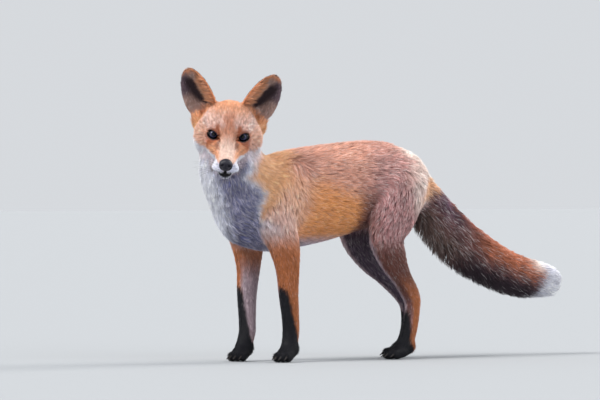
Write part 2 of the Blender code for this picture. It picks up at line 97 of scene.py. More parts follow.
TRUNK = [
    (0, -201, 257, 47, 62, 57, 11),
    (0, -150, 268, 57, 84, 78, 10),
    (0, -90, 278, 60, 92, 80, 9),
    (0, -25, 288, 61, 90, 78, 9),
    (0, 40, 296, 58, 88, 70, 9),
    (0, 98, 302, 58, 83, 66, 9),
    (0, 142, 304, 54, 67, 58, 9),
]
NECK = [
    (0, -140, 290, 50, 60, 56, 10),
    (0, -184, 300, 56, 68, 60, 11),
    (2, -220, 322, 59, 64, 60, 11.5),
    (10, -238, 356, 57, 55, 52, 11),
    (16, -244, 396, 46, 42, 44, 9),
]
NAPE = [
    (0, -182, 328, 42, 40, 32, 9),
    (-5, -206, 358, 46, 40, 36, 9),
    (-15, -212, 388, 46, 36, 38, 9),
    (-21, -213, 414, 38, 28, 36, 7),
]
TAIL = [
    (0, 168, 318, 27, 20, 36, 0),
    (0, 205, 298, 34, 20, 64, 0),
    (0, 250, 253, 42, 22, 76, 0),
    (0, 303, 210, 46, 27, 72, 0),
    (0, 362, 176, 46, 28, 63, 0),
    (0, 420, 155, 44, 27, 57, 0),
    (0, 466, 147, 38, 25, 49, 0),
    (0, 490, 141, 28, 16, 41, 0),
]
TAIL_CORE = (0.66, 0.60, 0.58, 0.57, 0.56, 0.55, 0.50, 0.44)   # bare tail's share of the brush

# %% Tables of the head, in its own axes: to its left, forward, up
SKULL = [
    (0, -98, 2, 32, 32, 36, 8),
    (0, -74, 2, 46, 44, 44, 8),
    (0, -44, 0, 52, 46, 48, 6),
    (0, -18, -5, 46, 36, 43, 5),
    (0, 4, -12, 34, 20, 36, 4),
]
SNOUT = [
    (0, 0, -15, 31, 20, 33, 3.5),
    (0, 22, -25, 24, 18, 27, 3),
    (0, 44, -31, 20, 15.5, 21, 2.2),
    (0, 64, -34, 17, 14, 17, 1.8),
]
JAW = [
    (0, -20, -44, 27, 14, 18, 5),
    (0, 20, -48, 19, 12, 13, 3),
    (0, 44, -52, 13.5, 10, 9.5, 2.2),
    (0, 57, -53, 10.5, 8, 8, 2.0),
]
WHISKER_PAD = ((10, 57, -41), (14, 16, 11))
CHEEK = ((38, -42, -16), (24, 32, 31))
CHEEK_COAT = 8.0
EARS = {
    1: ((39.5, -54, 22), (76.5, -68, 98), 36.0),
    -1: ((45, -54, 22), (83, -67, 97), 34.0),
}
EAR_ROOT = ((54, -70, 2), (9, 10, 17))     # the gristle that joins ear and temple

# %% Tables of the legs: the left ones; the right ones are mirrored and set fore or aft
FORE_LEG = [
    (48, -168, 246, 25, 34, 36, 8),
    (48, -146, 205, 23, 30, 33, 6),
    (47, -138, 165, 19.5, 22, 25, 4),
    (46, -136, 120, 17, 19, 19.5, 3.5),
    (44, -131, 78, 15.5, 17, 16, 3),
    (42, -128, 52, 15, 15.5, 16, 2.5),
    (42, -131, 28, 15, 14, 15, 2.2),
]
SHOULDER = [
    (30, -112, 330, 20, 30, 30, 8),
    (40, -138, 292, 24, 40, 40, 8),
    (46, -168, 252, 26, 36, 36, 8),
]
HIND_LEG = [
    (42, 124, 300, 24, 48, 52, 9),
    (50, 92, 262, 27, 52, 48, 8.5),
    (52, 70, 224, 23, 42, 36, 7),
    (50, 86, 182, 18, 34, 29, 5),
    (45, 112, 146, 14, 23, 20, 4),
    (40, 137, 112, 12.5, 21, 17, 3),
    (39, 141, 88, 12, 18, 14.5, 2.8),
    (38, 137, 55, 12.5, 16.5, 14.5, 2.5),
    (38, 130, 28, 13.5, 14, 14, 2.2),
]
FORE_STEP = {1: 0.0, -1: -37.0}         # how far aft each foot stands, in mm
HIND_STEP = {1: 0.0, -1: 56.0}
FORE_TOES, HIND_TOES = 31.0, 40.0       # reach of the longest toes
FORE_TURN = 20.0                        # degrees that the fore paws turn
PAW_COAT = 1.8
TOES = ((-12.5, 0.80), (-4.6, 1.0), (4.6, 1.0), (12.5, 0.80))


# %% [markdown]
# ## Distances
# A form is a function that gives, for any point, how far it is outside (above zero) or
# inside (below).  Two forms are joined by taking the lesser distance, with the crease
# between them rounded.  Forms blend into one another as muscles do under a skin, which
# separate pieces butted together can't do.

# %% Joining forms
def smooth_min(a, b, blend):
    """The lesser of a and b, lowered by blend/4 times the square of their closeness."""
    near = np.maximum(blend - np.abs(a - b), 0) / blend
    return np.minimum(a, b) - near * near * blend / 4


def smooth_max(a, b, blend):
    return -smooth_min(-a, -b, blend)


def ramp(v, low, high):
    """0 at low, 1 at high and an S-shaped way between, 3t^2 - 2t^3.  Low may be the larger."""
    t = np.clip((v - low) / (high - low), 0, 1)
    return t * t * (3 - 2 * t)


def unit(v):
    return v / np.maximum(np.linalg.norm(v, axis=-1, keepdims=True), 1e-9)


# %% Rounded lengths and balls
def faired(stations, steps=4):
    """A smooth (Catmull-Rom) run of stations through the given ones."""
    s = np.array(stations, float)
    run = np.vstack([2 * s[0] - s[1], s, 2 * s[-1] - s[-2]])
    t = np.linspace(0, 1, steps, endpoint=False)[:, None]
    out = []
    for a, b, c, d in zip(run[:-3], run[1:-2], run[2:-1], run[3:]):
        bend = (2 * a - 5 * b + 4 * c - d) * t**2
        twist = (3 * b - a - 3 * c + d) * t**3
        out.append(0.5 * (2 * b + (c - a) * t + bend + twist))
    out.append(s[-1:])
    return np.vstack(out)


def length_field(p, stations, bare, end=1.0, steps=4):
    """Distance to a length with egg-shaped sections, which are ellipses with two half depths.
    With k1 = |(x/a, y/b, z/c)| and k2 = |(x/a2, y/b2, z/c2)|, where a2 is a squared, the
    distance is k1(k1-1)/k2.  Gives the distance, the direction of the nearest stretch and
    the place on it, as a share of its length and a turn round it; bare adds the depth of
    coat, and so gives the skin."""
    s = faired(stations, steps)
    best = np.full(len(p), 1e9)
    which = np.zeros(len(p), int)
    share, near_side, near_rise = np.zeros((3, len(p)))
    axes = []
    for i, (a, b) in enumerate(zip(s[:-1], s[1:])):
        axis = b[:3] - a[:3]
        length = np.linalg.norm(axis)
        axis = axis / length
        across = np.array((1.0, 0, 0)) - axis[0] * axis
        across /= np.linalg.norm(across)
        up = np.cross(across, axis)
        axes.append(axis)
        q = p - a[:3]
        along = q @ axis
        t = np.clip(along / length, 0, 1)
        over = along - t * length
        side = q @ across
        rise = q @ up
        half_side, above, below = (a[k] + (b[k] - a[k]) * t for k in (3, 4, 5))
        half_rise = np.where(rise > 0, above, below)
        half_end = end * 0.5 * (half_side + np.minimum(above, below))
        k1 = np.sqrt((side / half_side)**2 + (rise / half_rise)**2 + (over / half_end)**2)
        k2 = np.sqrt((side / half_side**2)**2 + (rise / half_rise**2)**2
                     + (over / half_end**2)**2)
        far = k1 * (k1 - 1) / np.maximum(k2, 1e-9)
        nearer = far < best
        best[nearer] = far[nearer]
        which[nearer] = i
        for kept, new in ((share, t), (near_side, side), (near_rise, rise)):
            kept[nearer] = new[nearer]
    coat = s[which, 6] * (1 - share) + s[which + 1, 6] * share
    place = np.stack([(which + share) / len(axes), np.arctan2(near_side, near_rise)], -1)
    return (best + coat if bare else best), np.array(axes)[which], place


def ball_field(p, centre, radii):
    """Distance to an ellipsoid, by the same k1(k1-1)/k2."""
    q = p - np.array(centre, float)
    r = np.array(radii, float)
    k1 = np.linalg.norm(q / r, axis=1)
    k2 = np.linalg.norm(q / r**2, axis=1)
    return k1 * (k1 - 1) / np.maximum(k2, 1e-9)


def with_balls(f, p, rows):
    """Adds a ball for each row of middle, radii and blend, or carves one where blend is below 0."""
    for centre, radii, blend in rows:
        ball = ball_field(p, centre, radii)
        f = smooth_min(f, ball, blend) if blend > 0 else smooth_max(f, -ball, -blend)
    return f


# %% The head's own axes
def head_axes():
    """Rows: the head's left, forward and up, turned by yaw, then pitch, then roll."""
    yaw, pitch, roll = np.radians([HEAD_YAW, HEAD_PITCH, HEAD_ROLL])
    level = np.array((np.sin(yaw), -np.cos(yaw), 0))
    left = np.array((np.cos(yaw), np.sin(yaw), 0))
    sky = np.array((0, 0, 1.0))
    forward = level * np.cos(pitch) - sky * np.sin(pitch)
    up = level * np.sin(pitch) + sky * np.cos(pitch)
    return np.array((left * np.cos(roll) - up * np.sin(roll), forward,
                     up * np.cos(roll) + left * np.sin(roll)))


HEAD = head_axes()


def in_head(p):
    return (p - HEAD_AT) @ HEAD.T


def from_head(q):
    return HEAD_AT + q @ HEAD


def mirrored(p, side):
    return p * (side, 1, 1)


def to_left(q):
    """The same place on the left half, which the right half mirrors."""
    return np.abs(q) * (1, 0, 0) + q * (0, 1, 1)


# %% Where the drawing stands in the frame
low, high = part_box("eye_left")
SHIFT = (np.array(low) + np.array(high)) / 2 / MM - from_head(EYE_AT)
SHIFT[2] = 0.0
print("drawing is moved by", SHIFT.round(2), "mm")


# %% [markdown]
# ## Ears, muzzle and lids
# The ear is a leaf bent into a cup.  The lids are a shell round the eyeball with an
# almond-shaped gap in it, higher at its outer corner as a fox's is.  The lips are a groove
# that climbs towards the corners of the mouth.

# %% Ear
def ear_place(q, side):
    """A point's height (0 to 1), sideways and forward place on an ear, and its half width."""
    base, tip, wide = EARS[side]
    base = np.array(base, float)
    up = np.array(tip, float) - base
    height = np.linalg.norm(up)
    up /= height
    face = np.array((0.30, 0.95, 0.0))
    face -= face @ up * up
    face /= np.linalg.norm(face)
    across = np.cross(face, up)
    d = q - base
    rise = d @ up / height
    t = np.clip(rise, 0, 1)
    half = np.maximum(wide * (1 - t**2.6)**0.6 * (0.86 + 0.1 * t), 5.0)
    return rise, d @ across, d @ face, half, height, up, across, face


def ear_field(q, side, bare):
    """A leaf whose middle lies cup*(1 - v^2) behind its edges, v being 1 at the edge."""
    rise, side_way, front, half, height = ear_place(q, side)[:5]
    t = np.clip(rise, 0, 1)
    cup = 20.0 * (1 - t)**0.8 + 4
    v = np.clip(side_way / half, -1.2, 1.2)
    slope = np.sqrt(1 + (2 * cup * v / half)**2)
    coat = 1.6 if bare else 0.0
    if bare:
        half = half * (0.90 + 0.10 * ramp(rise, 0.0, 0.3))
    sheet = np.abs(front + cup * (1 - v * v)) / slope - EAR_THICKNESS / 2 + coat
    edge = np.abs(side_way) - half + coat * 0.7
    ends = np.maximum((rise - 1) * height, -rise * height - 12) + coat
    return smooth_max(smooth_max(sheet, edge, 3.0 if bare else 4.0), ends, 6.0)


# %% Lids and lips
LID_SLANT = math.radians(19.0)
LID_GAP = (12.6, 6.5)         # half length and half height of the gap between the lids
LID_AIM = np.array((0.22, 0.955, 0.19))
LID_OUT = np.array((math.cos(LID_SLANT), -0.42, math.sin(LID_SLANT)))
LID_OUT -= LID_OUT @ LID_AIM * LID_AIM / (LID_AIM @ LID_AIM)
LID_OUT /= np.linalg.norm(LID_OUT)
LID_UP = np.cross(LID_OUT, LID_AIM)
MOUTH_HEIGHT = -47.5


def lid_place(m):
    """Along the lids' gap (outwards), across it (up) and ahead of the eyeball's middle."""
    d = m - EYE_AT
    return d @ LID_OUT + 1.0, d @ LID_UP, d @ LID_AIM


def almond(out, up, power):
    """Above zero outside the gap: |up| - height * (1 - |out / length|^power)."""
    return np.abs(up) - LID_GAP[1] * (1 - np.abs(out / LID_GAP[0])**power)


def lip_height(m):
    """The line of the lips: lowest at the front, climbing back towards the corners."""
    return MOUTH_HEIGHT + 1.2 + 0.010 * np.clip(60 - m[:, 1], 0, 60)**1.45


# %% Head without its ears
def head_field(q, bare):
    """Skull, snout, jaw, pads and cheeks; bare adds lids, brows, lips and the nose's bed."""
    f = length_field(q, SKULL, bare)[0]
    f = smooth_min(f, length_field(q, SNOUT, bare, end=0.8)[0], 12)
    for side in SIDES:
        pad = ball_field(mirrored(q, side), *WHISKER_PAD)
        if bare:
            pad = smooth_max(pad + 1.6, lip_height(q) + 0.6 - q[:, 2], 2)
        f = smooth_min(f, pad, 7 if not bare else 4)
    f = smooth_min(f, length_field(q, JAW, bare)[0], 4)
    if not bare:
        f = smooth_min(f, ball_field(q, NOSE_AT, (12.2, 9.0, 11.0)), 2)
    for side in SIDES:
        cheek = ball_field(mirrored(q, side), *CHEEK)
        f = smooth_min(f, cheek + (CHEEK_COAT if bare else 0.0), 14)
    return face_details(f, q) if bare else f


def face_details(f, q):
    """Carves and adds what a finger would feel on the face."""
    m = to_left(q)
    near = (q[:, 1] > -40) & (np.abs(f) < 30)
    g, m = f[near], m[near]
    # brow, cheekbone, the hollow before the inner corner of the eye, and the lids' shell
    g = with_balls(g, m, (((21, -3, 12.5), (12, 6, 4), 10), ((27, 1, -11), (9, 6, 4), 9),
                          ((13.5, 16, -1.5), (6, 12, 6.5), -5),
                          (EYE_AT, (EYE_RADIUS + 2.3,) * 3, 2.5)))
    # the gap between the lids, and the fold over it
    out, up, ahead = lid_place(m)
    gap = np.maximum(almond(out, up, 2.4) * 0.75, 2.0 - ahead)
    fold = np.abs(up - 8.8 + 0.045 * out**2) - 0.55
    fold = np.maximum(np.maximum(fold, np.abs(out) - 9.5), 2.0 - ahead)
    g = smooth_max(g, -np.maximum(fold, -(g + 1.1)), 1.0)
    g = smooth_max(g, -gap, 0.8)
    g = np.maximum(g, -(ball_field(m, EYE_AT, (EYE_RADIUS,) * 3) - 0.25))
    # lips: a groove, and the parting under the nose
    lips = np.abs(m[:, 2] - lip_height(m)) - 1.0
    lips = np.maximum(lips, np.maximum(-(g + 3.2), 20 - m[:, 1]))
    g = smooth_max(g, -lips, 1.2)
    part = np.maximum(m[:, 0] - 0.7, np.abs(m[:, 2] + 43) - 4)
    g = smooth_max(g, -np.maximum(part, -(g + 1.5)), 0.8)
    f = f.copy()
    f[near] = g
    return f


# %% Paws and legs
def stepped(stations, foot, low, high):
    """Carries the lower stations fore or aft by foot and the upper ones less."""
    s = np.array(stations, float)
    s[:, 1] += foot * np.clip((high - s[:, 2]) / (high - low), 0, 1)
    return s


def leg_stations(side, hind):
    if hind:
        return stepped(HIND_LEG, HIND_STEP[side], 70, 285)
    return stepped(FORE_LEG, FORE_STEP[side], 28, 270)


def paw_frame(side, hind):
    """Middle of a left paw on the floor, its turn in degrees and the reach of its toes."""
    foot = leg_stations(side, hind)[-1]
    if hind:
        return np.array((foot[0], foot[1] + 1, 0.0)), 0.0, HIND_TOES
    return np.array((foot[0], foot[1] + 2, 0.0)), side * FORE_TURN, FORE_TOES


def paw_turned(q, turn):
    c, s = math.cos(math.radians(turn)), math.sin(math.radians(turn))
    return np.stack([q[:, 0] * c + q[:, 1] * s, q[:, 1] * c - q[:, 0] * s, q[:, 2]], -1)


def paw_field(q, reach, turn, bare):
    """A pad and four toes towards -Y, with pads and creases under them when bare."""
    q = paw_turned(q, turn)
    back = [(0, 4, 22, 14, 14, 15, 2), (0, -12, 15, 16, 13, 17, 2), (0, -20, 11, 15, 10, 14, 2)]
    f = length_field(q, back, bare)[0]
    for aside, share in TOES:
        toe = [(aside * 0.75, -12, 13, 8, 8, 10, PAW_COAT),
               (aside, -reach * share, 7.0, 6.6, 8.6, 11.5, PAW_COAT)]
        f = smooth_min(f, length_field(q, toe, bare, steps=2)[0], 2.0 if bare else 3.0)
    return f


# %% [markdown]
# ## The whole animal
# Every form works only near itself, in a box a little larger than it is, because a point
# on the tail has nothing to learn from an ear.  That makes the reckoning several times
# faster.  The same function also notes, form by form, how near each one is and which way
# its hair lies.

# %% The whole animal as one distance
AWAY = 200.0           # mm, the distance given where a form is out of reach


def joined(f, p, stations, blend, form, margin=48):
    """Blends a form into f, for the points within margin, in mm, of the box round it."""
    s = np.array(stations, float)
    wide = s[:, 3:6].max() + margin
    near = np.all((p > s[:, :3].min(0) - wide) & (p < s[:, :3].max(0) + wide), axis=1)
    g = np.full(len(p), AWAY)
    if near.any():
        g[near] = form(p[near])
    return (g if f is None else smooth_min(f, g, blend)), near, g


def fox_field(p, bare, notes=None):
    """Distance to the whole coat, or bare to the skin.  Notes collects, for each form, its
    name, its distance, the way its hair lies and the place along and round it."""
    def take(name, f, stations, blend, lie, side=1):
        laid = {}

        def form(x):
            g, axis, place = length_field(x, stations, bare)
            laid["way"] = np.hstack([mirrored(axis, side) * lie, place])
            return g
        f, near, g = joined(f, mirrored(p, side), stations, blend, form)
        if notes is not None:
            way = np.zeros((len(p), 5))
            if near.any():
                way[near] = laid["way"]
            notes.append((name, g, way[:, :3], way[:, 3:]))
        return f

    core = np.array(TAIL, float)
    if bare:
        core[:, 3:6] *= np.array(TAIL_CORE)[:, None]
    f = take("trunk", None, TRUNK, 0, 1)
    f = take("neck", f, NECK, 34, -1)
    f = take("nape", f, NAPE, 20, -1)
    for side in SIDES:
        for hind in (False, True):
            leg = take("hind" if hind else "fore", None, leg_stations(side, hind), 0, 1, side)
            if not hind:
                leg = take("shoulder", leg, SHOULDER, 16, 1, side)
            middle, turn, reach = paw_frame(side, hind)
            foot = np.array([(*middle, 50, 50, 50)])
            leg, near, g = joined(leg, mirrored(p, side), foot, 8,
                                  lambda x: paw_field(x - middle, reach, turn, bare), margin=10)
            if notes is not None:
                toes = np.radians(turn * side)
                way = np.array((np.sin(toes), -np.cos(toes), -0.1)) * np.ones((len(p), 1))
                d = mirrored(p, side) - middle
                place = np.stack([d[:, 1] / 60, np.arctan2(d[:, 0], d[:, 2] - 9)], -1)
                notes.append(("paw", g, way, place))
            f = smooth_min(f, leg, 18)
    f = take("tail", f, core, 14, 1)
    q = in_head(p)
    near = np.linalg.norm(q - (0, -15, 0), axis=1) < 190
    g = np.full(len(p), AWAY)
    g[near] = head_field(q[near], bare)
    f = smooth_min(f, g, 12)
    if notes is not None:
        m = np.abs(q[:, 0])
        way = np.stack([0.5 * np.sign(q[:, 0]) * ramp(m, 4, 50), -np.ones(len(q)),
                        0.55 * ramp(q[:, 2], -25, 25) - 0.55 * ramp(m, 14, 44)
                        * ramp(-q[:, 2], -12, 30)], -1)
        notes.append(("head", g, way @ HEAD,
                      np.stack([q[:, 1] / 180, np.arctan2(q[:, 0], q[:, 2] + 18)], -1)))
    for side in SIDES:
        m = mirrored(q[near], side)
        e = np.full(len(p), AWAY)
        e[near] = ear_field(m, side, bare)
        if bare:
            e[near] = smooth_min(e[near], ball_field(m, *EAR_ROOT), 8)
        f = smooth_min(f, e, 9 if bare else 5)
        if notes is not None:
            rise, side_way, front, half, _, up = ear_place(mirrored(q, side), side)[:6]
            up = mirrored(up[None], side)[0] @ HEAD
            turn = 1.4 * side_way / half + np.where(front > -8, 0, np.pi)
            notes.append(("ear", e, np.ones((len(p), 1)) * up, np.stack([rise, turn], -1)))
    return np.maximum(f, -p[:, 2])


# %% [markdown]
# ## From a distance to a mesh
# The distance is worked out on a grid of points, with its lines close together through the
# head and wider apart over the body.  Wherever the sign changes between neighbours there is
# a bit of skin.  One vertex goes in each such cell and one four-sided face across each such
# grid edge, which is called a surface net.

# %% Grid lines and samples
def runs(*spans):
    """Grid lines: spans of (start, stop, spacing) laid end to end."""
    lines = []
    for start, stop, spacing in spans:
        lines.append(np.linspace(start, stop, round((stop - start) / spacing), endpoint=False))
    return np.append(np.concatenate(lines), spans[-1][1])


def at_lines(axes, index):
    """The points where the grid lines of these numbers meet."""
    return np.stack([axes[k][index[:, k]] for k in range(3)], -1)


def sampled(field, axes):
    """The field on a grid: exact near the surface, and only its sign elsewhere.  A grid
    with every fourth line comes first and finds where the surface is."""
    picks = [np.append(np.arange(0, len(a) - 1, 4), len(a) - 1) for a in axes]
    rough = [a[k] for a, k in zip(axes, picks)]
    grid = np.stack(np.meshgrid(*rough, indexing="ij"), -1)
    far = field(grid.reshape(-1, 3)).reshape(grid.shape[:3])
    wide = [np.maximum(np.diff(r, prepend=r[0]), np.diff(r, append=r[-1])) for r in rough]
    reach = 1.5 * np.sqrt(sum(w**2 for w in np.meshgrid(*wide, indexing="ij", sparse=True)))
    reach = np.maximum(reach, 9.0)
    pick = [np.abs(a[:, None] - r[None]).argmin(1) for a, r in zip(axes, rough)]
    near = (np.abs(far) < reach)[np.ix_(*pick)]
    volume = (np.sign(far) * reach)[np.ix_(*pick)]
    points = at_lines(axes, np.argwhere(near))
    print("  points worked out:", len(points))
    volume[near] = np.concatenate([field(part) for part in np.array_split(points, 12)])
    return volume


# %% Surface net
def settled(volume):
    """Fills corners that touch only across a diagonal, so the skin never meets itself."""
    for _ in range(8):
        for u, v in ((0, 1), (1, 2), (0, 2)):
            square = []
            for du, dv in ((0, 0), (1, 1), (1, 0), (0, 1)):
                part = [slice(None)] * 3
                part[u] = slice(du, volume.shape[u] - 1 + du)
                part[v] = slice(dv, volume.shape[v] - 1 + dv)
                square.append(volume[tuple(part)])
            a, b, c, d = [corner < 0 for corner in square]
            square[2][a & b & ~c & ~d] = -0.05
            square[0][c & d & ~a & ~b] = -0.05
    return volume


def surface_net(volume, axes):
    """One vertex per crossed cell, at the mean of its crossings; one face per crossed edge."""
    inside = volume < 0
    shape = inside.shape
    steps = [(i, j, k) for k in (0, 1) for j in (0, 1) for i in (0, 1)]
    count = sum(inside[i:shape[0] - 1 + i, j:shape[1] - 1 + j, k:shape[2] - 1 + k].astype(np.int8)
                for i, j, k in steps)
    active = (count > 0) & (count < 8)
    cells = np.argwhere(active)
    number = np.full(active.shape, -1, np.int64)
    number[active] = np.arange(len(cells))
    total = np.zeros((len(cells), 3))
    hits = np.zeros(len(cells))
    for i, first in enumerate(steps):
        for second in steps[i + 1:]:
            if sum(abs(a - b) for a, b in zip(first, second)) != 1:
                continue
            ia, ib = cells + first, cells + second
            va, vb = volume[tuple(ia.T)], volume[tuple(ib.T)]
            cross = (va < 0) != (vb < 0)
            t = np.where(cross, va / np.where(va == vb, 1, va - vb), 0)[:, None]
            pa, pb = at_lines(axes, ia), at_lines(axes, ib)
            total += np.where(cross[:, None], pa + t * (pb - pa), 0)
            hits += cross
    faces = []
    for axis in range(3):
        low = inside.take(np.arange(shape[axis] - 1), axis)
        high = inside.take(np.arange(1, shape[axis]), axis)
        edge = np.argwhere(low != high)
        du, dv = np.roll(np.eye(3, dtype=int), -axis - 1, axis=0)[:2]
        ring = [edge - du - dv, edge - dv, edge, edge - du]
        face = np.stack([number[tuple(r.T)] for r in ring], -1)
        turn = ~low[tuple(edge.T)]
        face[turn] = face[turn][:, ::-1]
        faces.append(face)
    return total / hits[:, None], np.vstack(faces)


# %% The skin's mesh
GRID = (
    runs((-76, 14, 2.1), (14, 100, 1.4), (100, 112, 2.1)),
    runs((-340, -232, 1.38), (-232, -150, 2.0), (-150, 62, 5.8), (62, 220, 4.3), (220, 524, 5.8)),
    runs((-4.6, 61.4, 2.4), (61.4, 300, 5.4), (300, 328, 2.8), (328, 412, 1.32), (412, 514, 1.6)),
)
skin_points, skin_faces = surface_net(settled(sampled(lambda p: fox_field(p, True), GRID)), GRID)
skin_points[:, 2] = np.maximum(skin_points[:, 2], 0)
print("net:", len(skin_points), "points")

# %% The skin in one piece
def largest(points, faces):
    """Keeps the part that hangs together: each point takes the least number met along its
    edges, over and over, until the numbers stop changing."""
    label = np.arange(len(points))
    edge = np.vstack([faces[:, [i, (i + 1) % 4]] for i in range(4)])
    while True:
        old = label.copy()
        least = np.minimum(label[edge[:, 0]], label[edge[:, 1]])
        np.minimum.at(label, edge[:, 0], least)
        np.minimum.at(label, edge[:, 1], least)
        label = label[label]
        if (old == label).all():
            break
    keep = label == np.bincount(label).argmax()
    return points[keep], (np.cumsum(keep) - 1)[faces[keep[faces[:, 0]]]]


def point_normals(points, faces):
    """The sum, at each point, of the cross products of its faces' diagonals."""
    corner = points[faces]
    face = np.cross(corner[:, 2] - corner[:, 0], corner[:, 3] - corner[:, 1])
    total = [sum(np.bincount(faces[:, k], face[:, i], len(points)) for k in range(4))
             for i in range(3)]
    return unit(np.stack(total, -1))


skin_points, skin_faces = largest(skin_points, skin_faces)
skin_normals = point_normals(skin_points, skin_faces)
print("skin:", len(skin_points), "points,", 2 * len(skin_faces), "triangles")

# %% [markdown]
# ## The lie of the coat
# Hair on a fox runs back from the nose over the body to the tail, and down the legs to the
# toes.  At each point of the skin the forms that are near say which way they run, and the
# nearer ones count for more.  The depth of coat is how far the point lies inside the
# outline of the coat, which is the shape of the plain solids.

# %% Shares of each form, and the depth of the coat
FADE = 7.0             # mm over which a form loses its say
notes = []
outline = fox_field(skin_points, False, notes)
coat_depth = np.clip(-outline, 0.4, 60)
form_names = np.array([note[0] for note in notes])
form_far = np.array([note[1] for note in notes])
form_share = np.exp(-(form_far - form_far.min(0)) / FADE)
form_share /= form_share.sum(0)
form_way = np.array([note[2] for note in notes])
form_place = np.array([note[3] for note in notes])


def share_of(*names):
    return form_share[np.isin(form_names, names)].sum(0)


# along the back and over the root of the tail the hair stands higher, by up to this many
# mm, and fills the dip behind the rump; ahead of the tail its place along it is 0
RIDGE = 8
tail_along = form_place[form_names == "tail"][0, :, 0]
coat_depth += (RIDGE * np.exp(-((tail_along - 0.02) / 0.06)**2)
               * ramp(skin_normals[:, 2], 0.2, 0.6) * share_of("tail", "trunk"))
print("coat depth, mm:", np.percentile(coat_depth, [1, 25, 50, 75, 99]).round(1))

# %% Which way the hair lies
SAG = 0.35            # how much the hair on the trunk's sides runs downwards
hair_way = np.einsum("fp,fpk->pk", form_share, form_way)
sides_of_trunk = share_of("trunk", "shoulder", "neck", "nape") * (1 - np.abs(skin_normals[:, 2]))
hair_way[:, 2] -= SAG * sides_of_trunk
hair_way = unit(hair_way - (hair_way * skin_normals).sum(1, keepdims=True) * skin_normals)
# round the eyes it turns aside, and is shorter
head_points, head_normals = in_head(skin_points), skin_normals @ HEAD.T
right_half = np.where(head_points[:, :1] < 0, -1.0, 1.0)
lid_out, lid_up, lid_ahead = lid_place(to_left(head_points))
by_eye = ramp(np.hypot(lid_out / 1.3, lid_up), 19, 10) * (lid_ahead > 0) * share_of("head")
aside = unit(lid_out[:, None] / 1.6 * LID_OUT + lid_up[:, None] * LID_UP)
aside = (aside * np.hstack([right_half, np.ones((len(aside), 2))])) @ HEAD
towards = (hair_way * aside).sum(1)
hair_way += (np.maximum(towards, 0.25) - towards)[:, None] * aside * by_eye[:, None]
# inside the ears a fringe leans outwards from the inner edge
fringe = np.zeros(len(skin_points))
EAR_FORMS = tuple(zip(np.nonzero(form_names == "ear")[0], SIDES))
for k, side in EAR_FORMS:
    rise, side_way, _, half, _, up, across, face = ear_place(mirrored(head_points, side), side)
    inside = ramp(form_share[k], 0.35, 0.75) * (mirrored(head_normals, side) @ face > 0)
    part = inside * ramp(side_way / half, -0.25, -0.5)
    part = part * ramp(rise, 0.0, 0.1) * ramp(rise, 0.85, 0.6)
    lean = mirrored((0.8 * across + 0.5 * up + 0.35 * face)[None], side)[0] @ HEAD
    hair_way = hair_way * (1 - part[:, None]) + lean * part[:, None]
    fringe += part + 0.9 * ramp(form_share[k], 0.2, 0.5) * ramp(rise, 0.22, 0.04)
hair_way = unit(hair_way)

# %% How long the hair is, in mm
SHORTEST, PER_DEPTH, LONGEST, FRINGE = 2.4, 1.7, 30, 9
hair_length = (SHORTEST + PER_DEPTH * coat_depth) * (1 - 0.45 * by_eye)
face = share_of("head") * ramp(head_points[:, 1], -44, -24)
muzzle = share_of("head") * ramp(head_points[:, 1], 34, 50)
hair_length = np.minimum(hair_length, LONGEST - 19 * face) * (1 - 0.35 * muzzle) + FRINGE * fringe
print("hair, mm:", np.percentile(hair_length, [1, 25, 50, 75, 99]).round(1))

# %% [markdown]
# ## Markings
# A fox is rust on the back and gold on the lower flank.  Its throat is grey and white, its
# legs wear black stockings in front, its brush is grizzled brown with a dark underside and
# a white end.  A hair is darker at its root than at its tip, so there are two colours for
# each place, and a share of guard hairs that are paler still.  The masks are soft ramps
# over heights, distances and facing directions, and skin and coat use the same ones.

# %% Paint box
def srgb(*parts):
    """A colour as a painter's 0 to 255 values, turned into light: ((c + 0.055) / 1.055)^2.4."""
    c = np.array(parts) / 255
    return np.where(c < 0.04045, c / 12.92, ((c + 0.055) / 1.055)**2.4)


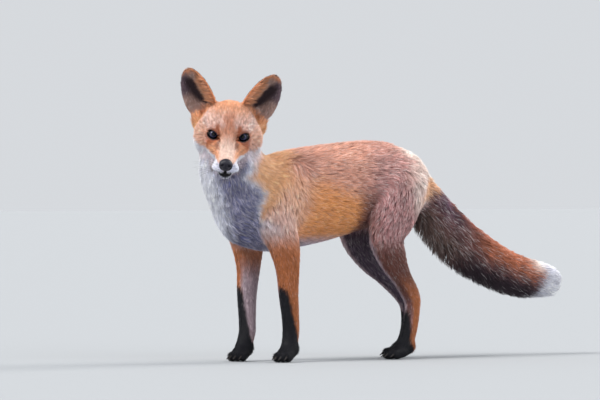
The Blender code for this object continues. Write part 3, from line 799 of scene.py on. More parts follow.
# name: colour near the root, colour of the tip, share of pale guard hairs
PAINTS = {
    "rust": ((152, 92, 74), (228, 164, 146), 0.20),
    "gold": ((196, 110, 58), (248, 168, 104), 0.10),
    "neck_gold": ((226, 136, 84), (255, 194, 144), 0.12),
    "mauve": ((120, 72, 70), (200, 144, 144), 0.30),
    "shade": ((80, 44, 38), (118, 72, 62), 0.08),
    "cream_and_highlight": ((250, 216, 200), (255, 240, 232), 0.30),
    "belly": ((140, 124, 142), (204, 190, 208), 0.30),
    "fawn_highlight": ((206, 150, 134), (255, 214, 206), 0.28),
    "bib": ((34, 34, 60), (114, 116, 160), 0.42),
    "bib_side": ((198, 202, 240), (244, 246, 255), 0.25),
    "leg_orange": ((146, 80, 40), (200, 120, 74), 0.05),
    "leg_pale": ((140, 116, 124), (194, 172, 182), 0.20),
    "black": ((5, 5, 11), (12, 11, 24), 0.0),
    "slate_shade": ((48, 36, 48), (86, 68, 86), 0.15),
    "crown": ((190, 110, 68), (240, 168, 126), 0.14),
    "brow": ((134, 84, 74), (232, 192, 184), 0.50),
    "stripe": ((160, 88, 58), (202, 132, 100), 0.08),
    "eye_ring": ((160, 80, 44), (196, 114, 76), 0.03),
    "bridge": ((220, 172, 150), (250, 218, 204), 0.10),
    "tear": ((84, 46, 38), (122, 72, 60), 0.0),
    "white": ((212, 212, 242), (246, 246, 255), 0.20),
    "grey": ((104, 92, 106), (152, 140, 156), 0.15),
    "lid": ((12, 10, 13), (16, 13, 17), 0.0),
    "ear_dark": ((30, 18, 24), (54, 34, 40), 0.0),
    "ear_pale": ((124, 92, 84), (190, 156, 144), 0.35),
    "ear_lilac": ((66, 50, 58), (122, 100, 110), 0.12),
    "ear_back": ((18, 14, 14), (36, 28, 28), 0.0),
    "tail_grizzle": ((50, 30, 34), (124, 84, 82), 0.22),
    "tail_lilac": ((58, 40, 58), (128, 98, 124), 0.26),
    "tail_top": ((84, 34, 28), (150, 74, 58), 0.04),
    "tail_orange": ((138, 66, 40), (206, 118, 78), 0.10),
    "tail_dark": ((26, 18, 24), (60, 40, 48), 0.06),
    "tail_under": ((18, 12, 18), (52, 36, 46), 0.02),
    "tail_olive": ((74, 56, 50), (118, 94, 86), 0.15),
}


class Layers:
    """Colours of root and tip and the share of guard hairs, painted over in layers."""
    def __init__(self, count, first):
        self.root = np.zeros((count, 3))
        self.tip = np.zeros((count, 3))
        self.pale = np.zeros(count)
        self.over(first, np.ones(count))

    def over(self, name, *masks):
        """New colour times all the masks, plus the old colour times what they leave.  A mask
        is a share, or the three numbers of a ramp."""
        root, tip, pale = PAINTS[name]
        m = 1.0
        for mask in masks:
            m = m * (ramp(*mask) if isinstance(mask, tuple) else mask)
        m = np.clip(m, 0, 1)
        self.root += (srgb(*root) - self.root) * m[:, None]
        self.tip += (srgb(*tip) - self.tip) * m[:, None]
        self.pale += (pale - self.pale) * m


# %% Marking the body
def wander(p):
    """A slow wave over the body, from -1 to 1, that keeps an edge from running straight."""
    x, y, z = p.T / 9
    return (np.sin(x + 2 * np.sin(z)) + np.sin(1.7 * z + y) + np.sin(1.3 * y - 0.8 * x)) / 3


def reach(p, centre, radii):
    """How far a point is from the centre, each way in its own radius: 1 on the ellipsoid."""
    return np.linalg.norm((p - centre) / radii, axis=1)


def mark_body(c, p, n):
    """Gold below, mauve behind, and a painted highlight on the rump's rear edge and top and over
    the shoulders' tops; p are points, n their normals.
    """
    x, y, z = p.T
    gold_top = np.interp(y, (-150, -60, 40), (348, 322, 290))
    c.over("gold", (gold_top - z, -14, 34), (y, 52, 12))
    c.over("mauve", (y, 0, 62), (z, 392, 345))
    c.over("shade", (y, -6, 22), (y, 70, 34), (z, 330, 280), 0.85)
    # painted highlight: the pale pinkish and cream paint along the rump's rear edge, and on its top
    # where it faces up and back, stands in for light
    c.over("fawn_highlight", (y, 96, 124), (z, 285, 330), (z, 386, 362), 0.5)
    c.over("cream_and_highlight", (y, 122, 142), (z, 244, 290), (z, 392, 372), 0.6)
    c.over("cream_and_highlight", (y, 96, 120), (n[:, 2] + 0.5 * n[:, 1], 0.62, 0.9), (z, 396, 376), 0.9)
    c.over("belly", (n[:, 2], -0.15, -0.8), (z, 232, 205))
    # painted highlight: the pale fawn over the tops of the shoulders stands in for light falling
    # there
    c.over("fawn_highlight", share_of("shoulder", "fore"), (z, 352, 300), 0.9)


# %% Marking the neck and the legs
def mark_neck(c, p, n):
    """The bib covers the chest up to a slanting plane on each side, and it turns with the
    head as it climbs the throat."""
    x, y, z = p.T
    beside = share_of("trunk", "shoulder", "head") * ramp(y, -150, -190)
    neck = np.clip(share_of("neck", "nape") * 1.5 + beside, 0, 1)
    c.over("neck_gold", share_of("nape", "neck", "trunk"), (y, -104, -140), (z, 240, 280), 0.95)
    middle_x, middle_y = (np.interp(z, (256, 300, 356, 396), row)
                          for row in ((0, 0, 10, 20), (-190, -196, -222, -235)))
    edge = np.interp(z, (212, 237, 265, 290, 308, 336, 380),
                     (-60, -75, -139, -135, -131, -156, -150))
    within = edge - (0.60 * np.abs(x - middle_x) + 0.80 * y) + 5 * wander(p)
    bib = neck * ramp(within, -9, 9) * ramp(z, 186, 208)
    c.over("bib_side", bib)
    aside = np.abs(x - middle_x + y - middle_y) / math.sqrt(2)
    c.over("bib", bib, (aside, 44, 18), (within, 0, 16))
    c.over("shade", neck, (z, 214, 186), 0.4)


def mark_legs(c, p, n):
    """Black climbs the front of each leg as a wedge and covers the whole foot; the inner sides of
    the hind legs carry painted shade.
    """
    x, y, z = p.T
    side = np.where(x > 0, 1.0, -1.0)
    inner = -n[:, 0] * side
    fore, hind, paw = share_of("fore"), share_of("hind"), share_of("paw")
    front = -n[:, 1] * 0.95 - inner * 0.25
    rear = n[:, 1] * 0.9 - inner * 0.3
    c.over("leg_orange", fore, (z, 262, 200))
    c.over("leg_pale", fore, (inner, 0.15, 0.7), (z, 200, 140))
    start = np.interp(z, (20, 40, 50, 63, 80, 112, 132, 150),
                      (-2.0, -0.5, -0.1, 0.12, 0.36, 0.52, 0.74, 1.6))
    c.over("black", fore + paw * (y < 0), (front - start, -0.14, 0.18))
    c.over("mauve", hind, (z, 250, 215), 0.7)
    c.over("shade", hind, (z, 222, 180), (z, 96, 124), (inner, -0.1, -0.7))
    c.over("shade", hind, (z, 238, 188), (z, 66, 90), (inner, 0.2, -0.3), 0.8)
    c.over("leg_orange", hind + paw * (y > 0), (z, 165, 105), (rear, -0.1, 0.3))
    # painted shade: dark slate on the inner sides of the hind legs, in the shade between the legs
    c.over("slate_shade", hind, (inner, 0.0, 0.5), (z, 262, 225))
    c.over("leg_pale", hind, (inner, -0.5, -0.15), (inner, 0.45, 0.1), (front, 0.2, 0.5),
           (z, 250, 215), (z, 60, 90), 0.9)
    start = np.interp(z, (5, 14, 28, 58, 84, 104), (-1.6, -0.5, 0.1, 0.4, 0.75, 1.6))
    c.over("black", hind + paw * (y > 0), (front - start, -0.15, 0.2))


# %% Marking the tail
def mark_tail(c, p, n):
    """Bands by the share of the tail's length and by how far a place faces upwards."""
    tail, along = np.clip(share_of("tail") * 1.4, 0, 1), tail_along
    up = n[:, 2] * 0.85 + n[:, 1] * 0.5
    c.over("tail_grizzle", tail, (along, 0.03, 0.12))
    c.over("tail_lilac", tail, (along, 0.11, 0.16), (along, 0.32, 0.22), (up, -0.4, 0.3))
    c.over("neck_gold", share_of("tail", "trunk"), (along, -0.01, 0.03), (along, 0.16, 0.12),
           (up, -0.1, 0.3), 0.85)
    c.over("tail_dark", tail, (along, 0.13, 0.18), (along, 0.62, 0.4), (wander(p), -0.1, 0.5),
           0.8, (up, -0.5, 0))
    c.over("tail_olive", tail, (up, -0.2, -0.7), (along, 0.45, 0.3))
    c.over("tail_top", tail, (up, 0.1, 0.5), (along, 0.14, 0.24), (along, 0.66, 0.5))
    c.over("tail_orange", tail, (up, -0.45, 0.05), (along, 0.3, 0.48), 0.85)
    c.over("tail_under", tail, (up, -0.2, -0.7), (along, 0.3, 0.46))
    c.over("cream_and_highlight", tail, (along, 0.64, 0.74), (up, -0.1, 0.4), 0.9)
    c.over("white", tail, (along, 0.73, 0.79))


# %% Marking the head
def mark_head(c, p, n):
    """Crown, brow, stripes from the eyes, pale bridge, white cheeks, dark lips and lids."""
    head = np.clip(share_of("head", "ear") * 1.5 - 0.2, 0, 1)
    m = to_left(in_head(p))
    x, y, z = m.T
    c.over("crown", head)
    c.over("brow", head, (z, 4, 12), (z, 40, 16), (y, -62, -45), (x, 46, 34), 0.7)
    c.over("eye_ring", head, (reach(m, EYE_AT + (-5, 8, -5), (1.0, 1, 0.95)), 22, 13))
    c.over("brow", head, (x, 30, 37), (y, -52, -34), (z, -22, -12), 0.4)
    c.over("stripe", head, (-x, -13 + 3 * wander(3 * p), -4), (z, -16, -6), (z, 42, 20), 0.85)
    above = head * ramp(np.abs(x - 15.5 - 0.2 * z), 5, 2) * ramp(z, 0, 4) * ramp(z, 20, 12)
    c.over("eye_ring", above)
    c.over("shade", above, 0.25)
    c.over("bridge", head, (y, 10, 38), (x, 16, 9), (z, -40, -32))
    c.over("tear", head, (np.abs(x - 15.5 + 0.06 * y), 4, 1.5), (y, 2, 10), (y, 40, 26),
           (z, -34, -24), (z, 6, 0), 0.75)
    c.over("neck_gold", head, (y, -40, -54), (x, 30, 40), (z, 14, 4))
    line = -28 + (x - 15) * 0.38 - 8 * ramp(x, 12, 8)
    c.over("white", head, (line - z, -2, 4), (y, -78, -62))
    c.over("white", head, (reach(m, (11, 56, -41), (13, 17, 11)), 1.15, 0.9))
    c.over("grey", head, (reach(m, (21, 36, -32), (4, 9, 5)), 1.5, 0.6))
    c.over("lid", head, (np.abs(z - lip_height(m)), 3.2, 2), (y, 18, 26))
    c.over("lid", head, (x, 3.2, 1.8), (y, 52, 57), (z, -40.5, -42), (z, -49, -47))
    below = lip_height(m) - z
    c.over("lid", head, (x, 13, 10), (y, 40, 46), (below, -0.5, 0.6),
           (-below - 0.35 * x, -11.5, -9.5))
    c.over("lid", head, (ball_field(m, (0, 73, -31), (11.6, 9, 10.5)), 1.8, 0.6))
    out, up, ahead = lid_place(m)
    rim = almond(out, up, 2.5)
    corner = np.hypot((out + 12.0) / 3.6, (up + 1.0) / 2.0)
    near = ramp(ahead, 2, 4)
    c.over("shade", head, near, (rim, 4.5, 1.5), (np.abs(out), 16, 12), 0.75)
    c.over("lid", head, near, np.maximum(ramp(rim, 1.5, 0.6), ramp(corner, 1.2, 0.7)))


def mark_ears(c, p, n):
    """Pale and lilac within, with a dark streak that climbs across, and black behind."""
    for k, side in EAR_FORMS:
        rise, side_way, _, half, _, _, _, face = ear_place(mirrored(in_head(p), side), side)
        ear = ramp(form_share[k], 0.35, 0.75)
        v = side_way / half
        within = (mirrored(n @ HEAD.T, side) @ face) > 0.0
        c.over("crown", ear)
        c.over("ear_pale", ear, within, (v, -0.66, -0.3), (rise, 0.96, 0.8), (rise, 0.0, 0.12))
        c.over("ear_lilac", ear, within, (v, 0.1, 0.5), (rise, 0.36, 0.56), (rise, 0.96, 0.8))
        streak = np.abs(v + 0.38 - rise) / np.interp(rise, (0, 0.35, 0.8), (0.20, 0.40, 0.24))
        c.over("ear_dark", ear, within, (streak, 1.8, 0.6), (rise, 0.04, 0.14), (rise, 0.86, 0.7))
        c.over("ear_back", ear, ~within, (rise, 0.22, 0.42))
        c.over("ear_back", ear, (v, 0.86, 0.98), (rise, 0.55, 0.7), 0.9)


colours = Layers(len(skin_points), "rust")
for mark in (mark_body, mark_neck, mark_legs, mark_tail, mark_head, mark_ears):
    mark(colours, skin_points, skin_normals)
print("markings:", len(PAINTS), "paints on", len(skin_points), "points")


# %% [markdown]
# ## Putting arrays into Blender
# Meshes come straight from arrays.  Each finished object sits at the origin with its place
# in its mesh.  A colour attribute carries the markings to the material.

# %% Mesh from arrays
def mesh_piece(name, points, faces, material, slot, colour=None, normals=None, uv=None):
    """An object from millimetre points and faces that all have as many corners."""
    mesh = bpy.data.meshes.new(name)
    mesh.vertices.add(len(points))
    mesh.vertices.foreach_set("co", ((points + SHIFT) * MM).astype(np.float32).ravel())
    mesh.loops.add(faces.size)
    mesh.loops.foreach_set("vertex_index", faces.astype(np.int32).ravel())
    mesh.polygons.add(len(faces))
    starts = np.arange(0, faces.size, faces.shape[1], dtype=np.int32)
    mesh.polygons.foreach_set("loop_start", starts)
    mesh.update(calc_edges=True)
    mesh.shade_smooth()
    if colour is not None:
        rgba = np.column_stack([colour, np.ones(len(colour))]).astype(np.float32)
        mesh.color_attributes.new("markings", "FLOAT_COLOR", "POINT")
        mesh.color_attributes["markings"].data.foreach_set("color", rgba.ravel())
    if uv is not None:
        mesh.uv_layers.new(name="OFBake").data.foreach_set("uv", uv.astype(np.float32).ravel())
    if normals is not None:
        mesh.normals_split_custom_set_from_vertices(normals.astype(np.float32))
    mesh.materials.append(material)
    ob = bpy.data.objects.new(name, mesh)
    bpy.context.scene.collection.objects.link(ob)
    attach(ob, "root")
    return ob


# %% [markdown]
# ## Finishes
# Hair is a rough shader with the markings as its colour, broken up by a fine noise so that
# no two neighbours are quite alike.  Bare leather at the nose is darker and wetter; the lids
# and lips keep the skin's own finish, painted dark.  One node group makes the noise for every
# finish.

# %% Node helpers
def plug(tree, node, sockets):
    """Gives a node's sockets, by name or number, a value or another node's output."""
    for name, value in sockets.items():
        if isinstance(value, bpy.types.NodeSocket):
            tree.links.new(value, node.inputs[name])
        else:
            node.inputs[name].default_value = value
    return node


def add(tree, kind, sockets, operation=None):
    node = tree.nodes.new(kind)
    if operation:
        node.operation = operation
    return plug(tree, node, sockets)


def speckle_group():
    """A group that lightens and darkens a colour by a noise, and gives the noise as height."""
    tree = bpy.data.node_groups.new("Speckle", "ShaderNodeTree")
    for name, way, kind in (("Color", "INPUT", "Color"), ("Scale", "INPUT", "Float"),
                            ("Strength", "INPUT", "Float"), ("Color", "OUTPUT", "Color"),
                            ("Height", "OUTPUT", "Float")):
        tree.interface.new_socket(name, in_out=way, socket_type="NodeSocket" + kind)
    given = tree.nodes.new("NodeGroupInput").outputs
    place = tree.nodes.new("ShaderNodeTexCoord").outputs["Object"]
    noise = add(tree, "ShaderNodeTexNoise",
                {"Vector": place, "Scale": given["Scale"], "Detail": 3.0})
    height = noise.outputs["Fac"]
    swing = add(tree, "ShaderNodeMath", {0: height, 1: 0.5}, "SUBTRACT").outputs[0]
    amount = add(tree, "ShaderNodeMath", {0: swing, 1: given["Strength"], 2: 1.0}, "MULTIPLY_ADD")
    scaled = add(tree, "ShaderNodeVectorMath",
                 {0: given["Color"], "Scale": amount.outputs[0]}, "SCALE")
    add(tree, "NodeGroupOutput", {"Color": scaled.outputs[0], "Height": height})
    return tree


SPECKLE = speckle_group()


def finish(name, rough, colour=None, scale=600.0, strength=0.3, bump=0.0, coat=0.0, specular=0.5):
    """A Principled finish: markings or one colour, through the speckle, with a bump."""
    material = bpy.data.materials.new(name)
    material.use_nodes = True
    tree = material.node_tree
    shader = tree.nodes["Principled BSDF"]
    group = tree.nodes.new("ShaderNodeGroup")
    group.node_tree = SPECKLE
    if colour is None:
        markings = tree.nodes.new("ShaderNodeAttribute")
        markings.attribute_name = "markings"
        paint = markings.outputs["Color"]
    else:
        paint = (*srgb(*colour), 1)
    plug(tree, group, {"Color": paint, "Scale": scale, "Strength": strength})
    plug(tree, shader, {"Base Color": group.outputs["Color"], "Roughness": rough,
                        "Specular IOR Level": specular, "Coat Weight": coat})
    if bump:
        relief = add(tree, "ShaderNodeBump", {"Strength": bump, "Distance": 0.0006,
                                              "Height": group.outputs["Height"]})
        plug(tree, shader, {"Normal": relief.outputs["Normal"]})
    return material


hide = finish("hide", 0.72, None, 1500.0, 0.7, bump=0.6, specular=0.3)
hair = finish("hair", 0.62, None, 900.0, 0.25, specular=0.35)
# the blue in the nose's near-black colour is a painted reflection of the sky
leather = finish("nose_leather", 0.40, (21, 19, 32), 1400.0, 0.8, bump=0.5, specular=0.4)
horn = finish("claw_horn", 0.35, (44, 38, 36), 500.0, 0.6, bump=0.15)
wet = finish("wet_eye", 0.25, None, 1500.0, 0.25, coat=0.3, specular=0.15)
bristle = finish("whisker", 0.4, (26, 22, 24), 300.0, 0.2)
print("finishes:", len(bpy.data.materials))

# %% The skin itself
under = colours.root * 0.55 + colours.tip * 0.45
skin = mesh_piece("skin", skin_points, skin_faces, hide, "red_coat", colour=under)
FLESH = [n for n in frame["nodes"] if not n.startswith(("eye", "claw", "nose"))]
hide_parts(*FLESH)
print("skin stands for", len(FLESH), "nodes")

# %% [markdown]
# ## Eyes
# An eyeball is a ball with a clear dome over the iris.  Here the dome is part of the ball's
# own outline, and the iris and pupil are rings of colour by angle from the line of sight.  A
# clear coat gives the wet highlight.  Both eyes look level along the turn of the head, and a
# touch towards each other.
# An eyeball, a whisker and a lock of hair are all rings of points between two ends, so one
# function gives the faces of all three.

# %% Faces over rings
def ring_faces(corners, rings, pointed):
    """Triangles of a closed form: rings of corners and a point after the last ring.  Before
    the first there is a point too, or else a flat end."""
    first = 1 if pointed else 0
    ring = first + np.arange(rings * corners).reshape(rings, corners)
    nxt = np.roll(ring, -1, axis=1)
    end = (nxt[0], ring[0], 0) if pointed else (0, ring[0, 2:], ring[0, 1:-1])
    parts = (end, (ring[:-1], nxt[:-1], nxt[1:]), (ring[:-1], nxt[1:], ring[1:]),
             (ring[-1], nxt[-1], first + rings * corners))
    return np.vstack([np.stack(np.broadcast_arrays(*part), -1).reshape(-1, 3) for part in parts])


# %% Eyeballs
GAZE = unit(np.array((math.sin(math.radians(HEAD_YAW)), -math.cos(math.radians(HEAD_YAW)), 0.0)))
INWARDS = 0.11         # how much each eye turns towards the other
IRIS = ((0, (5, 5, 9)), (20, (6, 6, 10)), (22, (36, 38, 60)), (32, (70, 66, 94)),
        (39, (34, 34, 54)), (45, (10, 9, 13)), (60, (14, 11, 12)), (180, (26, 20, 19)))
RINGS, AROUND = 61, 48


def eyeball(name, middle, gaze):
    """A ball of radius R + dome * (1 - (a / 40 degrees)^2), a being the angle from the gaze."""
    angle, turn = np.meshgrid(np.linspace(0, np.pi, RINGS),
                              np.linspace(0, 2 * np.pi, AROUND, endpoint=False), indexing="ij")
    dome = 0.55 * np.clip(1 - (angle / math.radians(40))**2, 0, 1)
    radius = EYE_RADIUS - 0.25 + dome
    side = unit(np.cross(gaze, (0, 0, 1.0)))
    top = np.cross(side, gaze)
    around = np.cos(turn)[..., None] * side + np.sin(turn)[..., None] * top
    grid = middle + radius[..., None] * (np.cos(angle)[..., None] * gaze
                                         + np.sin(angle)[..., None] * around)
    colour = np.stack([np.interp(np.degrees(angle), [k[0] for k in IRIS],
                                 srgb(*[k[1][i] for k in IRIS])) for i in range(3)], -1)
    grain = 1 + 0.25 * np.sin(turn * 37 + 3 * np.sin(turn * 5)) * (angle > 0.35) * (angle < 0.66)
    colour = colour * grain[..., None]
    points, paint = (np.vstack([g[0, :1], g[1:-1].reshape(-1, 3), g[-1, :1]])
                     for g in (grid, colour))
    return mesh_piece(name, points, ring_faces(AROUND, RINGS - 2, True), wet, "eye", colour=paint)


for side, word in SIDES.items():
    gaze = unit(GAZE - INWARDS * side * HEAD[0])
    eye = eyeball(f"eyeball_{word}", from_head(mirrored(EYE_AT, side)), gaze)
    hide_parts(f"eye_{word}")
    print(eye.name, len(eye.data.polygons), "faces")

# %% [markdown]
# ## Nose
# The nose is bare leather, wide above and narrow below, with two comma-shaped nostrils and
# a groove down its middle.  It is worked out as a distance as the skin was, on a finer grid.

# %% Nose leather
def nose_field(q):
    """Balls blended, less the nostrils, their slits and the groove."""
    m = to_left(q)
    f = with_balls(ball_field(m, (0, 73, -27.2), (10.2, 8.4, 7.0)), m, (
        ((0, 73, -34), (7.6, 8.2, 7.4), 5), ((6.6, 75, -29.6), (4.8, 6.4, 5.4), 3),
        ((5.0, 83, -29.8), (2.1, 4.6, 2.0), -1.2), ((8.6, 80, -31.4), (4.0, 4.0, 1.0), -1.0)))
    return smooth_max(f, -np.maximum(m[:, 0] - 0.45, -(f + 1.1)) - 200 * (q[:, 2] > -29), 0.7)


NOSE_GRID = (runs((-14, 14, 0.62)), runs((60, 85, 0.62)), runs((-44, -18, 0.62)))
spots = np.stack(np.meshgrid(*NOSE_GRID, indexing="ij"), -1)
volume = nose_field(spots.reshape(-1, 3)).reshape(spots.shape[:3])
nose_points, nose_faces = largest(*surface_net(settled(volume), NOSE_GRID))
nose = mesh_piece("nose_leather", from_head(nose_points), nose_faces[:, ::-1], leather,
                  "nose_leather")
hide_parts("nose")
print("nose:", len(nose_faces), "faces")

# %% [markdown]
# ## Whiskers and claws
# A whisker is a thin tapered tube along a drooping arc.  All of them are one mesh.  The
# claws are the frame's own, with a finish of dark horn.

# %% Whiskers
def tubes(path, radius, corners=5):
    """Tubes along paths: path is (tubes, stops, 3) and radius (stops,), closed by points at
    their ends.  Each ring is the path plus radius times a circle across it."""
    count, stops = path.shape[:2]
    ahead = unit(np.gradient(path, axis=1))
    side = unit(np.cross(ahead, (0.3, 0.1, 1.0)))
    top = np.cross(ahead, side)
    turn = np.linspace(0, 2 * np.pi, corners, endpoint=False)[:, None]
    ring = np.cos(turn) * side[:, :, None] + np.sin(turn) * top[:, :, None]
    points = path[:, :, None] + ring * radius[None, :, None, None]
    points = np.concatenate([points.reshape(count, -1, 3), path[:, -1:]], 1)
    faces = ring_faces(corners, stops, False) + np.arange(count)[:, None, None] * points.shape[1]
    return points.reshape(-1, 3), faces.reshape(-1, 3)


WHISKER_ROWS = ((-35, 2), (-38.5, 3), (-42.5, 3), (-46, 2))     # height of a row, and how many
draw = np.random.default_rng(7)
starts, ways, lengths = [], [], []
for side in SIDES:
    for row, (up, count) in enumerate(WHISKER_ROWS):
        for k in range(count):
            starts.append((side * (17.5 + 1.4 * k), 60 - 4.6 * k, up))
            ways.append((side * (1.0 + 0.1 * k), -0.55 - 0.3 * k + 0.1 * draw.random(),
                         0.25 - 0.22 * row))
            lengths.append(30 + 9 * k + 6 * draw.random())
starts, ways, lengths = np.array(starts), unit(np.array(ways)), np.array(lengths)[:, None, None]
s = np.linspace(0, 1, 9)[None, :, None]
arc = starts[:, None] + ways[:, None] * s * lengths
arc = arc + s**2 * lengths * np.array((0, -0.10, -0.22))
arc[:, 0] -= ways * 3
points, faces = tubes(from_head(arc), np.linspace(0.22, 0.05, 9))
mesh_piece("whiskers", points, faces, bristle, "claw")
print("whiskers:", len(lengths))

for name, node in frame["nodes"].items():
    if name.startswith("claw"):
        node.data.materials.clear()
        node.data.materials.append(horn)

# %% [markdown]
# ## The coat
# Each lock of hair is a thin closed spike with three corners to its section: a root set in
# the skin, one ring or two on the way and a point.  It walks from its root along the lie of
# the coat, rises to the coat's depth there and then keeps that height over the skin, as
# combed hair does.  A coarse grid of distances tells it how high it stands.  Locks near one
# another lean together at the tips, which breaks the coat into the tufts that one sees.

# %% Height over the skin, from a coarse grid
LOW, HIGH, STEP = np.array((-104.0, -366.0, -10.0)), np.array((136.0, 556.0, 536.0)), 6.0
COARSE = tuple(np.arange(a, b + STEP, STEP) for a, b in zip(LOW, HIGH))
spots = np.stack(np.meshgrid(*COARSE, indexing="ij"), -1)
heights = fox_field(spots.reshape(-1, 3), True).reshape(spots.shape[:3]).clip(-40, 90)


def height_at(p):
    """The distance between grid points: the eight corners, each times how near it is."""
    place = np.clip((p - LOW) / STEP, 0, np.array(heights.shape) - 1.001)
    cell = place.astype(int)
    part = place - cell
    total = np.zeros(len(p))
    for corner in np.ndindex(2, 2, 2):
        near = np.where(corner, part, 1 - part).prod(1)
        total += near * heights[tuple((cell + corner).T)]
    return total


def outwards_at(p):
    """The way up from the skin: the slope of the height along x, y and z."""
    return unit(np.stack([height_at(p + d) - height_at(p - d) for d in np.eye(3) * 3.0], -1))


print("height grid:", heights.size, "points")

# %% Roots
rng = np.random.default_rng(2026)
triangles = np.vstack([skin_faces[:, [0, 1, 2]], skin_faces[:, [0, 2, 3]]])
corners = skin_points[triangles]
across = np.cross(corners[:, 1] - corners[:, 0], corners[:, 2] - corners[:, 0])
areas = np.linalg.norm(across, axis=1) / 2


def roots_on(pick, gap):
    """Seeds roots on the picked triangles, about gap mm apart.  Even steps are taken along
    the running total of area / gap^2, each with a random part."""
    tri = triangles[pick]
    total = np.cumsum(areas[pick] / gap**2)
    count = int(total[-1])
    tri = tri[np.searchsorted(total, (np.arange(count) + rng.random(count)) * total[-1] / count)]
    u, v = rng.random((2, count))
    fold = u + v > 1
    u[fold], v[fold] = 1 - u[fold], 1 - v[fold]
    return tri, np.stack([1 - u - v, u, v], -1)


def blended(values, tri, weights):
    return (values[tri] * (weights[..., None] if values.ndim > 1 else weights)).sum(1)


# %% Unwrap
def unwrapped(tri, weights):
    """Places on an unwrap of the skin: each form is a strip of the square, as wide as its
    share of the roots, with the turn round the form across it and the length up it."""
    form = form_share[:, tri[:, 0]].argmax(0)
    uv = np.zeros((len(tri), 2))
    start = 0.0
    for k in np.unique(form):
        mine = form == k
        place = form_place[k][tri[mine]]
        along, east, north = ((v * weights[mine]).sum(1) for v in (
            place[..., 0], np.sin(place[..., 1]), np.cos(place[..., 1])))
        turn = np.arctan2(east, north)
        width = mine.mean()
        uv[mine, 0] = start + width * (turn - turn.min()) / max(np.ptp(turn), 1e-6)
        uv[mine, 1] = (along - along.min()) / max(np.ptp(along), 1e-6)
        start += width
    return 0.004 + uv * 0.992


# %% Combing
def combed(base, up, way, depth, length, top, stops, hug, cell, gather, crimp):
    """Walks each lock from its root.  At a share s of its length it stands top*(1-(1-s)^1.9)
    over the skin.  Long ones follow the skin's bends, crimp sends each step a little to one
    side, and tips draw together within a cell."""
    cells = cell.max() + 1
    size = np.bincount(cell, minlength=cells)[:, None]
    run = np.sqrt(np.maximum(length**2 - top**2, (0.3 * length)**2))
    here, normal, before = base.copy(), up.copy(), 0.0
    path = []
    for s in (*stops, 1.0):
        step = s - before
        wave = np.cross(normal, way) * rng.normal(0, crimp, len(base))[:, None]
        here = here + (way + wave) * (run * step)[:, None]
        wanted = top * (1 - (1 - s)**1.9)
        free = wanted - top * (1 - (1 - before)**1.9)
        hold = hug * ramp(depth, 3.0, 7.0)
        lift = np.clip(wanted - height_at(here), -0.6 * run * step, 0.8 * length * step + 1)
        normal = unit(up * (1 - hold)[:, None] + outwards_at(here) * hold[:, None])
        here = here + normal * (lift * hold + free * (1 - hold))[:, None]
        way = unit(way - (way * normal).sum(1, keepdims=True) * normal)
        middle = np.stack([np.bincount(cell, here[:, i], cells) for i in range(3)], -1) / size
        path.append(here + (middle[cell] - here) * gather * s**1.5)
        before = s
    path = np.stack(path, 1)
    path[:, :, 2] = np.maximum(path[:, :, 2], 0.4)
    return path, normal


# %% One piece of the coat
PATCH = 0.003          # how long one lock's patch is on the unwrap


